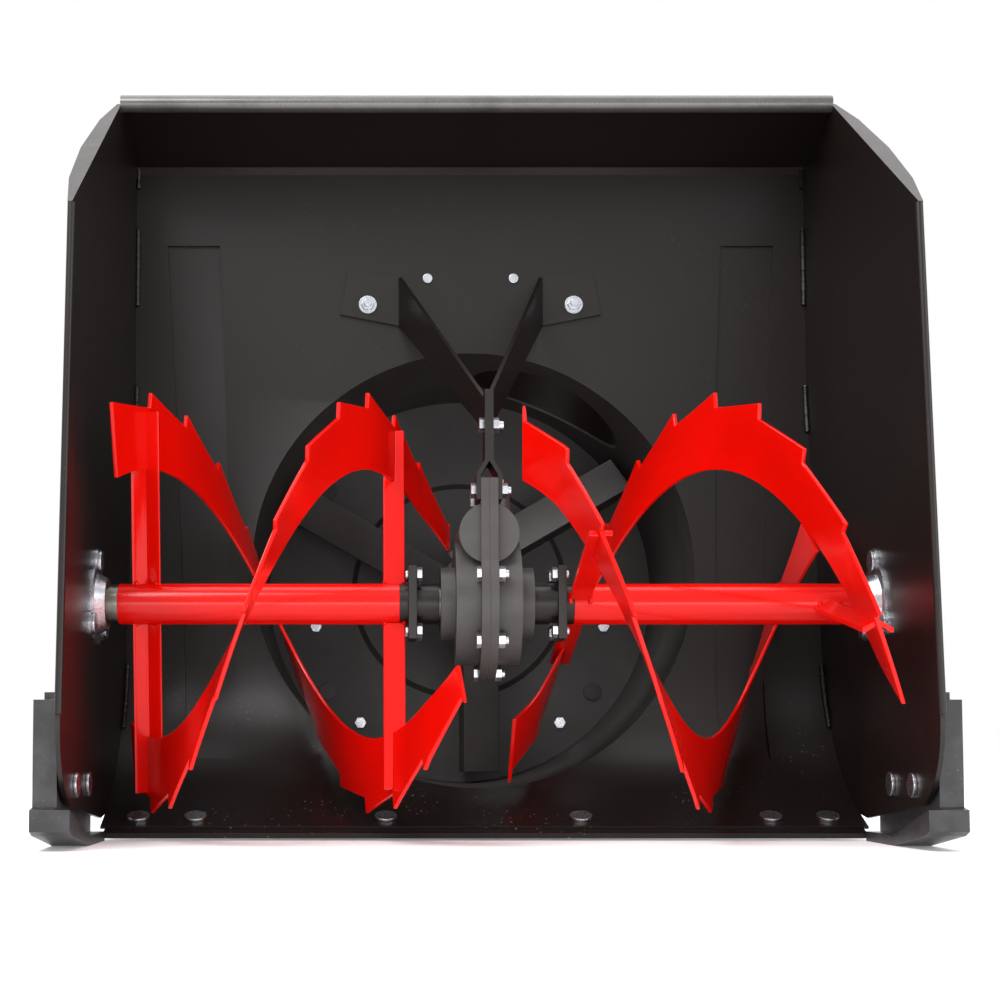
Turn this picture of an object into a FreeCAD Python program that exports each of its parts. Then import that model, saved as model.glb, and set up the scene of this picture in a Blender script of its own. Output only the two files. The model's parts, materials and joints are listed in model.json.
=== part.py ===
import FreeCAD, Part
import math
import os
import Sketcher
from FreeCAD import Placement, Rotation, Vector

# Auger head of a two-stage snow blower. Lengths are in millimetres and angles in degrees.
# Origin: rear face of the drum back plate, on the impeller axis. The intake faces -Y, +Z is up.

DRIVING_SIZES = {
    "clear_width": 560.0,        # between the side plates
    "lip_rise": 404.0,           # top lip above the auger axis
    "axis_height": 170.0,        # auger axis above the ground
    "auger_offset": 409.0,       # auger axis to the rear face of the drum
    "gear_centres": 46.5,        # impeller axis above the auger axis
    "sheet": 2.0,                # housing sheet
    "plate": 3.0,                # side plates
    "wall_setback": 195.0,       # auger axis to the upright part of the back wall
    "auger_gap": 9.0,            # auger teeth to the curved part of the back wall
    "wall_lean": 10.4,           # angle where the curved wall meets the straight wall
    "wall_end": 68.7,            # angle where the curved wall meets the bottom lip
    "lip_bead": 6.5,             # radius of the rolled top lip
    "hem_bead": 2.6,             # radius of the beads on the side plate edges
    "rim_width": 10.5,           # outward rim on the sloping edge of a side plate
    "toe_radius": 55.0,          # rounded lower front corner of a side plate
    "drum_radius": 180.0,        # inside of the impeller drum
    "neck_radius": 65.0,         # inside of the chute collar
    "neck_side": 70.0,           # chute collar to the right of the impeller axis
    "neck_back": 109.0,          # chute collar in front of the drum's rear face
    "neck_top": 215.0,           # chute collar's flange above the impeller axis
    "ribbon_tip": 151.0,         # tips of the auger teeth
    "tooth_depth": 11.0,         # from a tooth's tip in to its root
    "ribbon_inner": 96.0,        # inner edge of an auger ribbon
    "ribbon_thick": 3.0,
    "ribbon_sweep": 270.0,       # turn of one ribbon
    "ribbon_end_gap": 20.4,      # outer end of a ribbon to the side plate
    "ribbon_inner_end": 27.0,    # inner end of a ribbon from the middle of the head
    "left_phase": 61.0,          # outer end of the first left ribbon
    "right_phase": -30.0,        # outer end of the first right ribbon
    "arm_reach": 137.0,          # auger axis to the tip of an arm
    "tube_wall": 2.05,           # auger tube, on the shaft
    "shaft_radius": 12.7,
    "fit": 0.1,                  # radial clearance of a shaft in its bore
    "free_gap": 0.5,             # gap between pieces that move past each other
    "impeller_gap": 6.0,         # blade tips to the drum
    "impeller_depth": 96.0,
    "impeller_shaft": 9.5,
    "gear_gap": 0.4,             # worm's crest to the wheel's teeth
    "wheel_tip": 35.5,
    "wheel_width": 20.0,
    "wheel_room": 3.0,           # inside the case, round the wheel
    "case_wall": 5.5,
    "case_half": 23.0,           # half width of the case round the wheel
    "case_rim": 10.0,            # bolting rim outside the case
    "skid_up": 5.0,              # skid shoe travel above the rest position
    "skid_down": 18.0,           # skid shoe travel below the rest position
    "bolt": 4.0,                 # radius of the M8 bolts
    "small_bolt": 3.0,           # radius of the M6 bolts
    "stud_inset": 23.4,          # frame studs from the inside of the drum
    "stud_angle": 37.34,         # frame studs above and below the impeller axis
    "stud_length": 18.0,         # behind the drum
    "pulley_radius": 75.0,
}

TEETH = 12
WHEEL_TEETH = 20

doc = FreeCAD.newDocument("snow_blower_head")
sheet = doc.addObject("Spreadsheet::Sheet", "sizes")
for row, (alias, number) in enumerate(DRIVING_SIZES.items(), start=1):
    sheet.set(f"A{row}", alias)
    sheet.set(f"B{row}", str(number))
    sheet.setAlias(f"B{row}", alias)
doc.recompute()


class Size:
    """A length or an angle: its number, and the sheet expression that gives it."""

    def __init__(self, number, text):
        self.number = number
        self.text = text

    def __add__(self, other):
        other = sized(other)
        return Size(self.number + other.number, f"({self.text} + {other.text})")

    def __radd__(self, other):
        return sized(other) + self

    def __sub__(self, other):
        other = sized(other)
        return Size(self.number - other.number, f"({self.text} - {other.text})")

    def __rsub__(self, other):
        return sized(other) - self

    def __mul__(self, other):
        other = sized(other)
        return Size(self.number * other.number, f"({self.text} * {other.text})")

    def __rmul__(self, other):
        return sized(other) * self

    def __truediv__(self, other):
        other = sized(other)
        return Size(self.number / other.number, f"({self.text} / {other.text})")

    def __neg__(self):
        return Size(-self.number, f"(0 - {self.text})")


def sized(value):
    return value if isinstance(value, Size) else Size(float(value), f"({float(value):.6f})")


def cosine(angle):
    angle = sized(angle)
    return Size(math.cos(math.radians(angle.number)), f"cos({angle.text})")


def sine(angle):
    angle = sized(angle)
    return Size(math.sin(math.radians(angle.number)), f"sin({angle.text})")


def from_sheet(alias):
    return Size(float(sheet.get(alias)), f"sizes.{alias}")


class Sizes:
    """Every driving size, by its name in the sheet, and the sizes that fit them."""

    def __init__(self):
        for alias in DRIVING_SIZES:
            setattr(self, alias, from_sheet(alias))
        self.wall_radius = self.ribbon_tip + self.auger_gap
        self.ribbon_root = self.ribbon_tip - self.tooth_depth
        self.tube_radius = self.shaft_radius + self.tube_wall
        self.impeller_reach = self.drum_radius - self.impeller_gap
        self.worm_crest = self.gear_centres - self.wheel_tip - self.gear_gap
        self.case_radius = self.wheel_tip + self.wheel_room + self.case_wall


S = Sizes()
subparts = {}
AXES = {
    "X": Rotation(Vector(0, 0, 1), Vector(1, 0, 0)),
    "Y": Rotation(Vector(0, 0, 1), Vector(0, 1, 0)),
    "Z": Rotation(),
}
PLANES = {"XY": "XY_Plane", "XZ": "XZ_Plane", "YZ": "YZ_Plane"}


# ---------------------------------------------------------------- building blocks

def place(item, corner, rotation=None):
    if rotation is not None:
        item.Placement = Placement(Vector(), rotation)
    for letter, size in zip("xyz", corner):
        item.setExpression(f"Placement.Base.{letter}", sized(size).text)
    return item


def box(name, low, high):
    item = doc.addObject("Part::Box", name)
    for side, start, end in zip(("Length", "Width", "Height"), low, high):
        item.setExpression(side, (sized(end) - sized(start)).text)
    return place(item, low)


def cylinder(name, axis, radius, start, length):
    item = doc.addObject("Part::Cylinder", name)
    item.setExpression("Radius", sized(radius).text)
    item.setExpression("Height", sized(length).text)
    return place(item, start, AXES[axis])


def cone(name, axis, first_radius, last_radius, start, length):
    item = doc.addObject("Part::Cone", name)
    item.setExpression("Radius1", sized(first_radius).text)
    item.setExpression("Radius2", sized(last_radius).text)
    item.setExpression("Height", sized(length).text)
    return place(item, start, AXES[axis])


def hexagon(name, axis, radius, start, length):
    item = doc.addObject("Part::Prism", name)
    item.Polygon = 6
    item.setExpression("Circumradius", sized(radius).text)
    item.setExpression("Height", sized(length).text)
    return place(item, start, AXES[axis])


def fuse(name, pieces):
    item = doc.addObject("Part::MultiFuse", name)
    item.Shapes = pieces
    item.Refine = True
    return item


def cut(name, base, *tools):
    item = doc.addObject("Part::Cut", name)
    item.Base = base
    item.Tool = tools[0] if len(tools) == 1 else group(name + "_tools", tools)
    return item


def common(name, first, second):
    item = doc.addObject("Part::Common", name)
    item.Base = first
    item.Tool = second
    return item


def group(name, pieces):
    item = doc.addObject("Part::Compound", name)
    item.Links = list(pieces)
    return item


def mirrored(name, source):
    item = doc.addObject("Part::Mirroring", name)
    item.Source = source
    item.Normal = Vector(1, 0, 0)
    return item


def ring(name, axis, outer, inner, start, length):
    return cut(name, cylinder(name + "_outside", axis, outer, start, length),
               cylinder(name + "_bore", axis, inner, start, length))


def coded(name, shape, placement=Placement()):
    """A shape that the primitives and sketches can't give."""
    item = doc.addObject("Part::Feature", name)
    item.Shape = shape
    item.Placement = placement
    return item


def subpart(item, label):
    item.Label = label
    subparts[label] = item
    return item


def profile(name, plane, points, start, length):
    """A body padded from a closed outline.

    A point is (u, v), or (u, v, centre_u, centre_v) for an arc from the point before it,
    which takes the shorter way round.
    """
    body = doc.addObject("PartDesign::Body", name)
    sketch = body.newObject("Sketcher::SketchObject", name + "_outline")
    origin_plane = [item for item in body.Origin.OriginFeatures if item.Role == PLANES[plane]][0]
    sketch.AttachmentSupport = [(origin_plane, "")]
    sketch.MapMode = "FlatFace"
    sketch.setExpression("AttachmentOffset.Base.z", sized(start).text)
    points = [tuple(sized(value) for value in point) for point in points]
    for index, point in enumerate(points):
        before = points[index - 1]
        first = Vector(before[0].number, before[1].number, 0)
        last = Vector(point[0].number, point[1].number, 0)
        if len(point) == 2:
            sketch.addGeometry(Part.LineSegment(first, last))
            continue
        centre = Vector(point[2].number, point[3].number, 0)
        start_angle = math.atan2(first.y - centre.y, first.x - centre.x)
        end_angle = math.atan2(last.y - centre.y, last.x - centre.x)
        turn = (end_angle - start_angle + math.pi) % (2 * math.pi) - math.pi
        circle = Part.Circle(centre, Vector(0, 0, 1), first.distanceToPoint(centre))
        if turn < 0:
            start_angle, end_angle = end_angle, start_angle
        sketch.addGeometry(Part.ArcOfCircle(circle, start_angle, end_angle))
        pin(sketch, index, 3, point[2], point[3])
    for index, point in enumerate(points):
        end = outline_end(points, index, last=True)
        start_of_next = outline_end(points, (index + 1) % len(points), last=False)
        sketch.addConstraint(Sketcher.Constraint("Coincident", index, end, (index + 1) % len(points),
                                                 start_of_next))
        pin(sketch, index, end, point[0], point[1], arc=len(point) == 4)
    pad = body.newObject("PartDesign::Pad", name + "_pad")
    pad.Profile = sketch
    pad.setExpression("Length", sized(length).text)
    return body


def outline_end(points, index, last):
    """Which end of the outline's piece a point is: 1 starts it and 2 ends it."""
    point = points[index]
    if len(point) == 2:
        return 2 if last else 1
    before = points[index - 1]
    start_angle = math.atan2(before[1].number - point[3].number, before[0].number - point[2].number)
    end_angle = math.atan2(point[1].number - point[3].number, point[0].number - point[2].number)
    turn = (end_angle - start_angle + math.pi) % (2 * math.pi) - math.pi
    forward = turn >= 0
    return 2 if forward == last else 1


def pin(sketch, index, end, across, up, arc=False):
    """Holds one point of a sketch at its place from the sketch's origin."""
    for kind, size in (("DistanceX", across), ("DistanceY", up)):
        if arc and kind == "DistanceY" and end != 3:
            continue
        number = sketch.addConstraint(Sketcher.Constraint(kind, -1, 1, index, end, size.number))
        sketch.setExpression(f"Constraints[{number}]", size.text)


def round_edges(body, radius, chosen):
    """Rounds the edges of a body that the test chooses."""
    doc.recompute()
    fillet = body.newObject("PartDesign::Fillet", body.Name + "_rounding")
    tip = body.Tip if body.Tip is not fillet else fillet.BaseFeature
    names = [f"Edge{number}" for number, edge in enumerate(tip.Shape.Edges, start=1) if chosen(edge)]
    fillet.Base = (tip, names)
    fillet.setExpression("Radius", sized(radius).text)
    body.Tip = fillet
    return body


# ---------------------------------------------------------------- shared places

half = S.clear_width / 2
axle_y = -S.auger_offset
axle_z = -S.gear_centres
ground = axle_z - S.axis_height


def fore(distance):
    """Distance behind the auger axis, as Y."""
    return axle_y + distance


def above(distance):
    """Distance above the auger axis, as Z."""
    return axle_z + distance


def wall_point(radius, angle):
    """A point on a circle about the auger axis, the angle counted down from the rear."""
    return fore(radius * cosine(angle)), above(-(radius * sine(angle)))


def hex_bolt(name, axis, radius, start, length):
    """A hexagon bolt whose head stands outside the start of its length."""
    head = radius * 1.1
    x, y, z = start
    places = {"X": (x - head, y, z), "Y": (x, y - head, z), "Z": (x, y, z - head)}
    shank = cylinder(name + "_shank", axis, radius, start, length)
    return fuse(name, [hexagon(name + "_head", axis, radius * 1.85, places[axis], head), shank])


def nut(name, axis, radius, start):
    return cut(name, hexagon(name + "_hex", axis, radius * 1.85, start, radius * 1.6),
               cylinder(name + "_thread", axis, radius, start, radius * 1.6))


# ---------------------------------------------------------------- housing

lip_y = fore(99)
lip_z = above(S.lip_rise)
bend_z = lip_z - 18
brow_y = fore(-117)
brow_z = above(S.lip_rise - 146)
toe = (fore(-143), above(-137))
heel = (fore(34), above(-154))
curve_top = wall_point(S.wall_radius, S.wall_lean)
curve_end = wall_point(S.wall_radius, S.wall_end)
lean_top_z = above(190)
apron = 30


def apron_point(along, out):
    """A point beyond the end of the curved wall: along its tangent, and out from the auger."""
    y, z = curve_end
    return (y - sine(S.wall_end) * along + cosine(S.wall_end) * out,
            z - cosine(S.wall_end) * along - sine(S.wall_end) * out)


outer_top = wall_point(S.wall_radius + S.sheet, S.wall_lean)
outer_end = wall_point(S.wall_radius + S.sheet, S.wall_end)
wall_outline = [
    (lip_y, lip_z),
    (lip_y, lip_z - S.sheet),
    (fore(S.wall_setback) - 4, bend_z - S.sheet),
    (fore(S.wall_setback), bend_z - 5 - S.sheet),
    (fore(S.wall_setback), lean_top_z),
    curve_top,
    curve_end + (axle_y, axle_z),
    apron_point(apron, 0),
    apron_point(apron, S.sheet),
    outer_end,
    outer_top + (axle_y, axle_z),
    (fore(S.wall_setback) + S.sheet, lean_top_z),
    (fore(S.wall_setback) + S.sheet, bend_z - 4),
    (fore(S.wall_setback) - 3, bend_z),
]
wall_sheet = profile("wall_sheet", "YZ", wall_outline, -half, S.clear_width)
emboss_depth = 3.0
emboss_foot = 45.0
emboss_foot_z = above(-(S.wall_radius * sine(emboss_foot)))


def wall_band(name, inner, outer):
    """The space between two depths behind the back wall's front face."""
    top = above(325)
    wall_front = fore(S.wall_setback)
    return profile(name, "YZ", [
        (wall_front + inner, top), (wall_front + inner, lean_top_z),
        wall_point(S.wall_radius + inner, S.wall_lean),
        wall_point(S.wall_radius + inner, S.wall_end - 5) + (axle_y, axle_z),
        wall_point(S.wall_radius + outer, S.wall_end - 5),
        wall_point(S.wall_radius + outer, S.wall_lean) + (axle_y, axle_z), (wall_front + outer, lean_top_z),
        (wall_front + outer, top)], half - 100, 90)


def emboss_plan(name, inset):
    """A tapering panel's outline, drawn through the wall."""
    foot = emboss_foot_z + inset
    top = above(320) - inset
    return profile(name, "XZ", [
        (half - 92 + inset, foot), (half - 50 - inset, foot),
        (half - 24 - inset, top), (half - 72 + inset, top),
    ], -(fore(S.wall_setback) + 10), 160)


emboss_block = common("emboss_block", wall_band("emboss_shell", 0, emboss_depth + S.sheet),
                      emboss_plan("emboss_outside", 0))
emboss_pocket = common("emboss_pocket", wall_band("emboss_space", -1, emboss_depth),
                       emboss_plan("emboss_inside", S.sheet))
lip_roll = cylinder("lip_roll", "X", S.lip_bead, (-half, lip_y, lip_z), S.clear_width)
mouth = cylinder("mouth", "Y", S.drum_radius, (0, fore(0), 0), S.wall_setback + 50)
screw_radius = 2.5
wall_screw_holes = [
    cylinder(f"wall_screw_hole_{side:+d}", "Y", screw_radius,
             (36 * side, fore(S.wall_setback) - 5, above(290)), 20)
    for side in (-1, 1)
]
brace_holes = [
    cylinder(f"brace_hole_{side:+d}", "Y", S.small_bolt, (86 * side, fore(S.wall_setback) - 5, above(267)), 20)
    for side in (-1, 1)
]
scraper_x = [72.0, 212.0, 254.0]
scraper_places = [x * side for side in (-1, 1) for x in scraper_x]
bar_bolt_along = 14


def across_apron(name, radius, x, out, length):
    """A cylinder square to the apron, from a distance out of it."""
    y, z = apron_point(bar_bolt_along, out)
    item = doc.addObject("Part::Cylinder", name)
    item.setExpression("Radius", sized(radius).text)
    item.setExpression("Height", sized(length).text)
    lean = math.radians(S.wall_end.number)
    return place(item, (x, y, z), Rotation(Vector(0, 0, 1), Vector(0, math.cos(lean), -math.sin(lean))))


apron_holes = [across_apron(f"apron_hole_{number}", S.bolt, x, -3, 14)
               for number, x in enumerate(scraper_places)]
back_solid = fuse("back_solid", [wall_sheet, lip_roll, emboss_block,
                                 mirrored("emboss_block_left", emboss_block)])
subpart(cut("back_sheet_cut", back_solid, mouth, emboss_pocket,
            mirrored("emboss_pocket_left", emboss_pocket),
            *wall_screw_holes, *brace_holes, *apron_holes), "back_sheet")

side_outline = [
    (brow_y, brow_z),
    toe,
    heel,
    outer_end,
    outer_top + (axle_y, axle_z),
    (fore(S.wall_setback) + S.sheet, lean_top_z),
    (fore(S.wall_setback) + S.sheet, bend_z),
    (lip_y, lip_z),
]
side_body = profile("side_body", "YZ", side_outline, half, S.plate)
side_body = round_edges(side_body, S.toe_radius, lambda edge: abs(edge.Length - S.plate.number) < 0.01
                        and abs(edge.CenterOfMass.y - toe[0].number) < 0.01
                        and abs(edge.CenterOfMass.z - toe[1].number) < 0.01)
rim_slab = profile("rim_slab", "YZ", [
    (brow_y, brow_z), (brow_y + 3, brow_z), (lip_y, lip_z - S.sheet), (lip_y, lip_z),
], half, S.plate + S.rim_width)
rim_edge = half + S.plate
rim_plan = profile("rim_plan", "XY", [
    (half, brow_y - 1), (rim_edge, brow_y - 1), (rim_edge + S.rim_width * 0.7, brow_y + 45),
    (rim_edge + S.rim_width, brow_y + 110), (rim_edge + S.rim_width * 0.7, lip_y - 40),
    (rim_edge, lip_y + 1), (half, lip_y + 1),
], 0, S.lip_rise)
rim = common("rim", rim_slab, rim_plan)
rear_flange = box("rear_flange", (half, fore(S.wall_setback) + S.sheet, lean_top_z),
                  (half + 20, fore(S.wall_setback) + 2 * S.sheet, bend_z))


def bead(name, start, end, radius):
    """A rolled bead along a straight edge of a side plate."""
    run = end - start
    return coded(name, Part.makeCylinder(radius, run.Length, start, run))


front_bead = bead("front_bead",
                  Vector(half.number + 0.6, brow_y.number + 1, brow_z.number - 1),
                  Vector(half.number + 0.6, toe[0].number + 1, toe[1].number + S.toe_radius.number),
                  S.hem_bead.number)
flange_bolt_angles = [90, 210, 330]
flange_bolt_radius = 31.0


def around_axle(name, radius, x, distance, angle, length):
    """A cylinder along X, at an angle round the auger axis counted from the rear."""
    y, z = fore(distance * cosine(angle)), above(distance * sine(angle))
    return cylinder(name, "X", radius, (x, y, z), length)


side_holes = [around_axle(f"side_hole_{angle}", S.bolt, half - 5, flange_bolt_radius, angle, 20)
              for angle in flange_bolt_angles]
side_holes.append(cylinder("axle_hole", "X", S.shaft_radius + 6, (half - 5, axle_y, axle_z), 20))
skid_bolt_y = [-30.0, -80.0]
skid_bolt_z = above(-128)
side_holes += [cylinder(f"skid_hole_{number}", "X", S.bolt, (half - 5, fore(y), skid_bolt_z), 20)
               for number, y in enumerate(skid_bolt_y)]
right_side = subpart(cut("right_side_cut", fuse("right_side_solid", [side_body, rim, rear_flange, front_bead]),
                         *side_holes), "right_side_plate")
subpart(mirrored("left_side_mirror", right_side), "left_side_plate")

# Drum: a tube trimmed to the back wall, with the chute collar's hole in its top.
front_space = profile("front_space", "YZ", [
    (fore(-200), above(-200)),
    (fore(0), above(-200)),
    (fore(0), above(-(S.wall_radius + S.sheet))),
    outer_top + (axle_y, axle_z),
    (fore(S.wall_setback) + S.sheet, lean_top_z),
    (fore(S.wall_setback) + S.sheet, above(S.lip_rise)),
    (fore(-200), above(S.lip_rise)),
], -half, S.clear_width)
drum_tube = ring("drum_tube", "Y", S.drum_radius + S.sheet, S.drum_radius, (0, axle_y, 0), S.auger_offset)
neck_hole = cylinder("neck_hole", "Z", S.neck_radius, (S.neck_side, -S.neck_back, 0), S.neck_top)
drum_bolt_places = [
    ((S.drum_radius - inset) * cosine(angle), (S.drum_radius - inset) * sine(angle))
    for inset, angle in ((24, -53), (24, -127), (40, -14), (40, -166))]
subpart(cut("drum_cut", drum_tube, front_space, neck_hole), "impeller_drum")
back_disc = fuse("back_disc", [
    cylinder("disc", "Y", S.drum_radius, (0, -2.5, 0), 2.5),
    cone("raised_disc", "Y", 97, 102, (0, -6.5, 0), 4),
])
stud_circle = S.drum_radius - S.stud_inset
stud_places = [(stud_circle * cosine(S.stud_angle) * x, stud_circle * sine(S.stud_angle) * z)
               for x in (-1, 1) for z in (-1, 1)]
stud_shoulder = S.bolt + 0.8
frame_holes = [cylinder(f"frame_hole_{number}", "Y", stud_shoulder, (x, -5, z), 10)
               for number, (x, z) in enumerate(stud_places)]
subpart(group("frame_stud_group", [
    fuse(f"frame_stud_{number}", [
        cylinder(f"frame_stud_head_{number}", "Y", S.bolt * 2.1, (x, -5, z), 2.5),
        cylinder(f"frame_stud_shoulder_{number}", "Y", stud_shoulder, (x, -2.5, z), 2.5),
        cylinder(f"frame_stud_shank_{number}", "Y", S.bolt, (x, -1, z), S.stud_length + 1)])
    for number, (x, z) in enumerate(stud_places)]), "frame_studs")
drum_bolt_holes = [cylinder(f"drum_bolt_hole_{number}", "Y", S.small_bolt, (x, -5, z), 10)
                   for number, (x, z) in enumerate(drum_bolt_places)]
housing_bolt_angles = [30, 150, 270]
housing_bolt_radius = 42.0
housing_holes = [cylinder(f"housing_hole_{angle}", "Y", S.small_bolt,
                          (housing_bolt_radius * cosine(angle), -10, housing_bolt_radius * sine(angle)), 20)
                 for angle in housing_bolt_angles]
housing_seat = 24.0
subpart(cut("back_plate_cut", back_disc, *frame_holes, *drum_bolt_holes, *housing_holes,
            cylinder("housing_seat", "Y", housing_seat, (0, -20, 0), 40)), "drum_back_plate")
subpart(group("drum_bolt_group", [
    hex_bolt(f"drum_bolt_{number}", "Y", S.small_bolt, (x, -2.5, z), 7)
    for number, (x, z) in enumerate(drum_bolt_places)
] + [
    hex_bolt(f"housing_bolt_{angle}", "Y", S.small_bolt,
             (housing_bolt_radius * cosine(angle), -6.5, housing_bolt_radius * sine(angle)), 16)
    for angle in housing_bolt_angles]), "drum_bolts")

# Chute collar, the ring that turns on it and the clips that hold the ring.
neck_centre = (S.neck_side, -S.neck_back)
collar_tube = ring("collar_tube", "Z", S.neck_radius + S.sheet, S.neck_radius, neck_centre + (0,), S.neck_top)
drum_core = cylinder("drum_core", "Y", S.drum_radius + S.sheet, (0, axle_y, 0), S.auger_offset + 10)
collar_flange = ring("collar_flange", "Z", S.neck_radius + 27, S.neck_radius, neck_centre + (S.neck_top,), 3)
clip_angles = [60, 180, 300]
clip_bolt_radius = S.neck_radius + 20.5


def on_neck(distance, angle):
    return S.neck_side + distance * cosine(angle), -S.neck_back + distance * sine(angle)


clip_holes = [cylinder(f"clip_hole_{angle}", "Z", S.small_bolt, on_neck(clip_bolt_radius, angle)
                       + (S.neck_top - 10,), 20) for angle in clip_angles]
subpart(cut("collar_cut", fuse("collar_solid", [cut("neck_tube", collar_tube, drum_core), collar_flange]),
            *clip_holes), "chute_collar")
ring_low = S.neck_top + 3
ring_radius = S.neck_radius + 11
chute_holes = [cylinder(f"chute_hole_{angle}", "Z", 2.6, on_neck(S.neck_radius + 5, angle) + (ring_low,), 20)
               for angle in (0, 120, 240)]
subpart(cut("chute_ring_cut", fuse("chute_ring_solid", [
    ring("chute_plate", "Z", ring_radius, S.neck_radius - 3, neck_centre + (ring_low + 0.3,), 3),
    ring("chute_spigot", "Z", S.neck_radius - 0.7, S.neck_radius - 3, neck_centre + (S.neck_top - 8,), 44),
]), *chute_holes), "chute_ring")


def clip(angle):
    """A bracket bolted to the collar's flange that laps over the ring's rim."""
    body = profile(f"clip_{angle}", "XZ", [
        (S.neck_radius + 26, 3), (ring_radius + 1, 3), (ring_radius + 1, 8), (ring_radius - 4, 8),
        (ring_radius - 4, 10), (ring_radius + 4, 10), (ring_radius + 4, 5), (S.neck_radius + 26, 5),
    ], -8, 16)
    hole = cylinder(f"clip_bore_{angle}", "Z", S.small_bolt, (clip_bolt_radius + 0.5, 0, 0), 20)
    bracket = cut(f"clip_bracket_{angle}", body, hole)
    return place(bracket, (S.neck_side, -S.neck_back, S.neck_top), Rotation(Vector(0, 0, 1), angle))


subpart(group("clip_group", [clip(angle) for angle in clip_angles]), "chute_clips")
subpart(group("clip_bolt_group", [
    fuse(f"clip_bolt_{angle}", [
        hexagon(f"clip_bolt_head_{angle}", "Z", 5,
                on_neck(clip_bolt_radius + 0.5, angle) + (S.neck_top + 5,), 3),
        cylinder(f"clip_bolt_shank_{angle}", "Z", S.small_bolt - 0.6,
                 on_neck(clip_bolt_radius + 0.5, angle) + (S.neck_top - 4,), 9),
    ]) for angle in clip_angles]), "chute_clip_bolts")

# Scraper bar under the apron, with carriage bolts through both.
bar_thick = 4
scraper = profile("scraper_body", "YZ", [
    apron_point(-2, S.sheet), apron_point(38, S.sheet),
    apron_point(38, S.sheet + bar_thick), apron_point(-2, S.sheet + bar_thick),
], -half + 3, S.clear_width - 6)
bar_holes = [across_apron(f"bar_hole_{number}", S.bolt, x, 0, 12) for number, x in enumerate(scraper_places)]
subpart(cut("scraper_cut", scraper, *bar_holes), "scraper_bar")


def carriage_bolt(name, x):
    head = across_apron(name + "_head", S.bolt * 2.1, x, -2.4, 2.4)
    return fuse(name, [head, across_apron(name + "_shank", S.bolt, x, -1, S.sheet + bar_thick + 8)])


subpart(group("scraper_bolt_group", [carriage_bolt(f"scraper_bolt_{number}", x)
                                     for number, x in enumerate(scraper_places)]), "scraper_bolts")
subpart(group("scraper_nut_group", [
    cut(f"scraper_nut_{number}",
        across_apron(f"scraper_nut_outside_{number}", S.bolt * 1.7, x, S.sheet + bar_thick, 5),
        across_apron(f"scraper_nut_thread_{number}", S.bolt, x, S.sheet + bar_thick, 5))
    for number, x in enumerate(scraper_places)]), "scraper_nuts")

# Flange bearings of the auger shaft.
cup_radius = 22.5
lobe = [cylinder(f"lobe_{angle}", "X", 9, (half - S.sheet, fore(flange_bolt_radius * cosine(angle)),
                                           above(flange_bolt_radius * sine(angle))), S.sheet)
        for angle in flange_bolt_angles]
flange_solid = fuse("flange_solid", lobe + [
    cylinder("flange_disc", "X", 29, (half - S.sheet, axle_y, axle_z), S.sheet),
    cone("flange_cup", "X", cup_radius - 4, cup_radius, (half - 9, axle_y, axle_z), 8),
])
flange_holes = [around_axle(f"flange_hole_{angle}", S.bolt, half - 5, flange_bolt_radius, angle, 20)
                for angle in flange_bolt_angles]
bush_radius = S.shaft_radius + 4
right_flange = cut("right_flange", flange_solid, *flange_holes,
                   cylinder("flange_bore", "X", bush_radius, (half - 20, axle_y, axle_z), 40))
subpart(group("flange_pair", [right_flange, mirrored("left_flange", right_flange)]), "bearing_flanges")
right_bush = ring("right_bush", "X", bush_radius, S.shaft_radius + S.fit, (half - 9, axle_y, axle_z),
                  9 + S.plate)
subpart(group("bush_pair", [right_bush, mirrored("left_bush", right_bush)]), "axle_bushings")


def around_flange(kind):
    """Three fasteners of the bearing flange on each side."""
    pieces = []
    for angle in flange_bolt_angles:
        y, z = fore(flange_bolt_radius * cosine(angle)), above(flange_bolt_radius * sine(angle))
        if kind == "bolt":
            piece = fuse(f"flange_bolt_{angle}", [
                cylinder(f"flange_bolt_head_{angle}", "X", S.bolt * 1.9, (half - S.sheet - 2.5, y, z), 2.5),
                cylinder(f"flange_bolt_shank_{angle}", "X", S.bolt, (half - S.sheet, y, z), S.plate + 10)])
        else:
            piece = nut(f"flange_nut_{angle}", "X", S.bolt, (half + S.plate, y, z))
        pieces += [piece, mirrored(piece.Name + "_left", piece)]
    return pieces


flange_bolts = around_flange("bolt")
flange_nuts = around_flange("nut")

# Brace: two bent strips from the back wall that meet in front and hold the gearbox.
strip = 3.0
flange_half = 6.0
case_top = S.case_radius + S.case_rim - 16
clamp_z = case_top - 7
tab_y = fore(S.wall_setback)
tab_outline = [(58, above(249)), (109, above(259)), (102, above(296)), (58, above(291))]
tab = cut("tab", profile("tab_sheet", "XZ", tab_outline, -tab_y, strip),
          cylinder("tab_hole", "Y", S.small_bolt, (86, tab_y - 20, above(267)), 30))
sweep_plan = profile("sweep_plan", "XY", [
    (58, tab_y), (61, tab_y), (strip, fore(-15)), (0, fore(-15)),
], above(100), 200)
sweep_side = profile("sweep_side", "YZ", [
    (tab_y, above(292)), (tab_y, above(251)), (fore(-15), above(124)), (fore(-15), above(148)),
], 0, 80)
drop = profile("drop", "XZ", [
    (0, above(147)), (strip, above(147)), (strip, case_top + 13), (flange_half + strip, case_top + 3),
    (flange_half + strip, case_top - 15), (flange_half, case_top - 15), (flange_half, case_top + 2),
    (0, case_top + 12),
], -fore(-15), 30)
brace_holes_low = [
    cylinder("join_hole", "X", S.small_bolt, (-5, fore(-30), above(124)), 30),
    cylinder("clamp_hole", "X", S.small_bolt, (-5, fore(-30), clamp_z), 30),
]
right_brace = subpart(cut("right_brace_cut", fuse("right_brace_solid", [
    tab, common("sweep", sweep_plan, sweep_side), drop]), *brace_holes_low), "right_brace")
subpart(mirrored("left_brace_mirror", right_brace), "left_brace")


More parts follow.
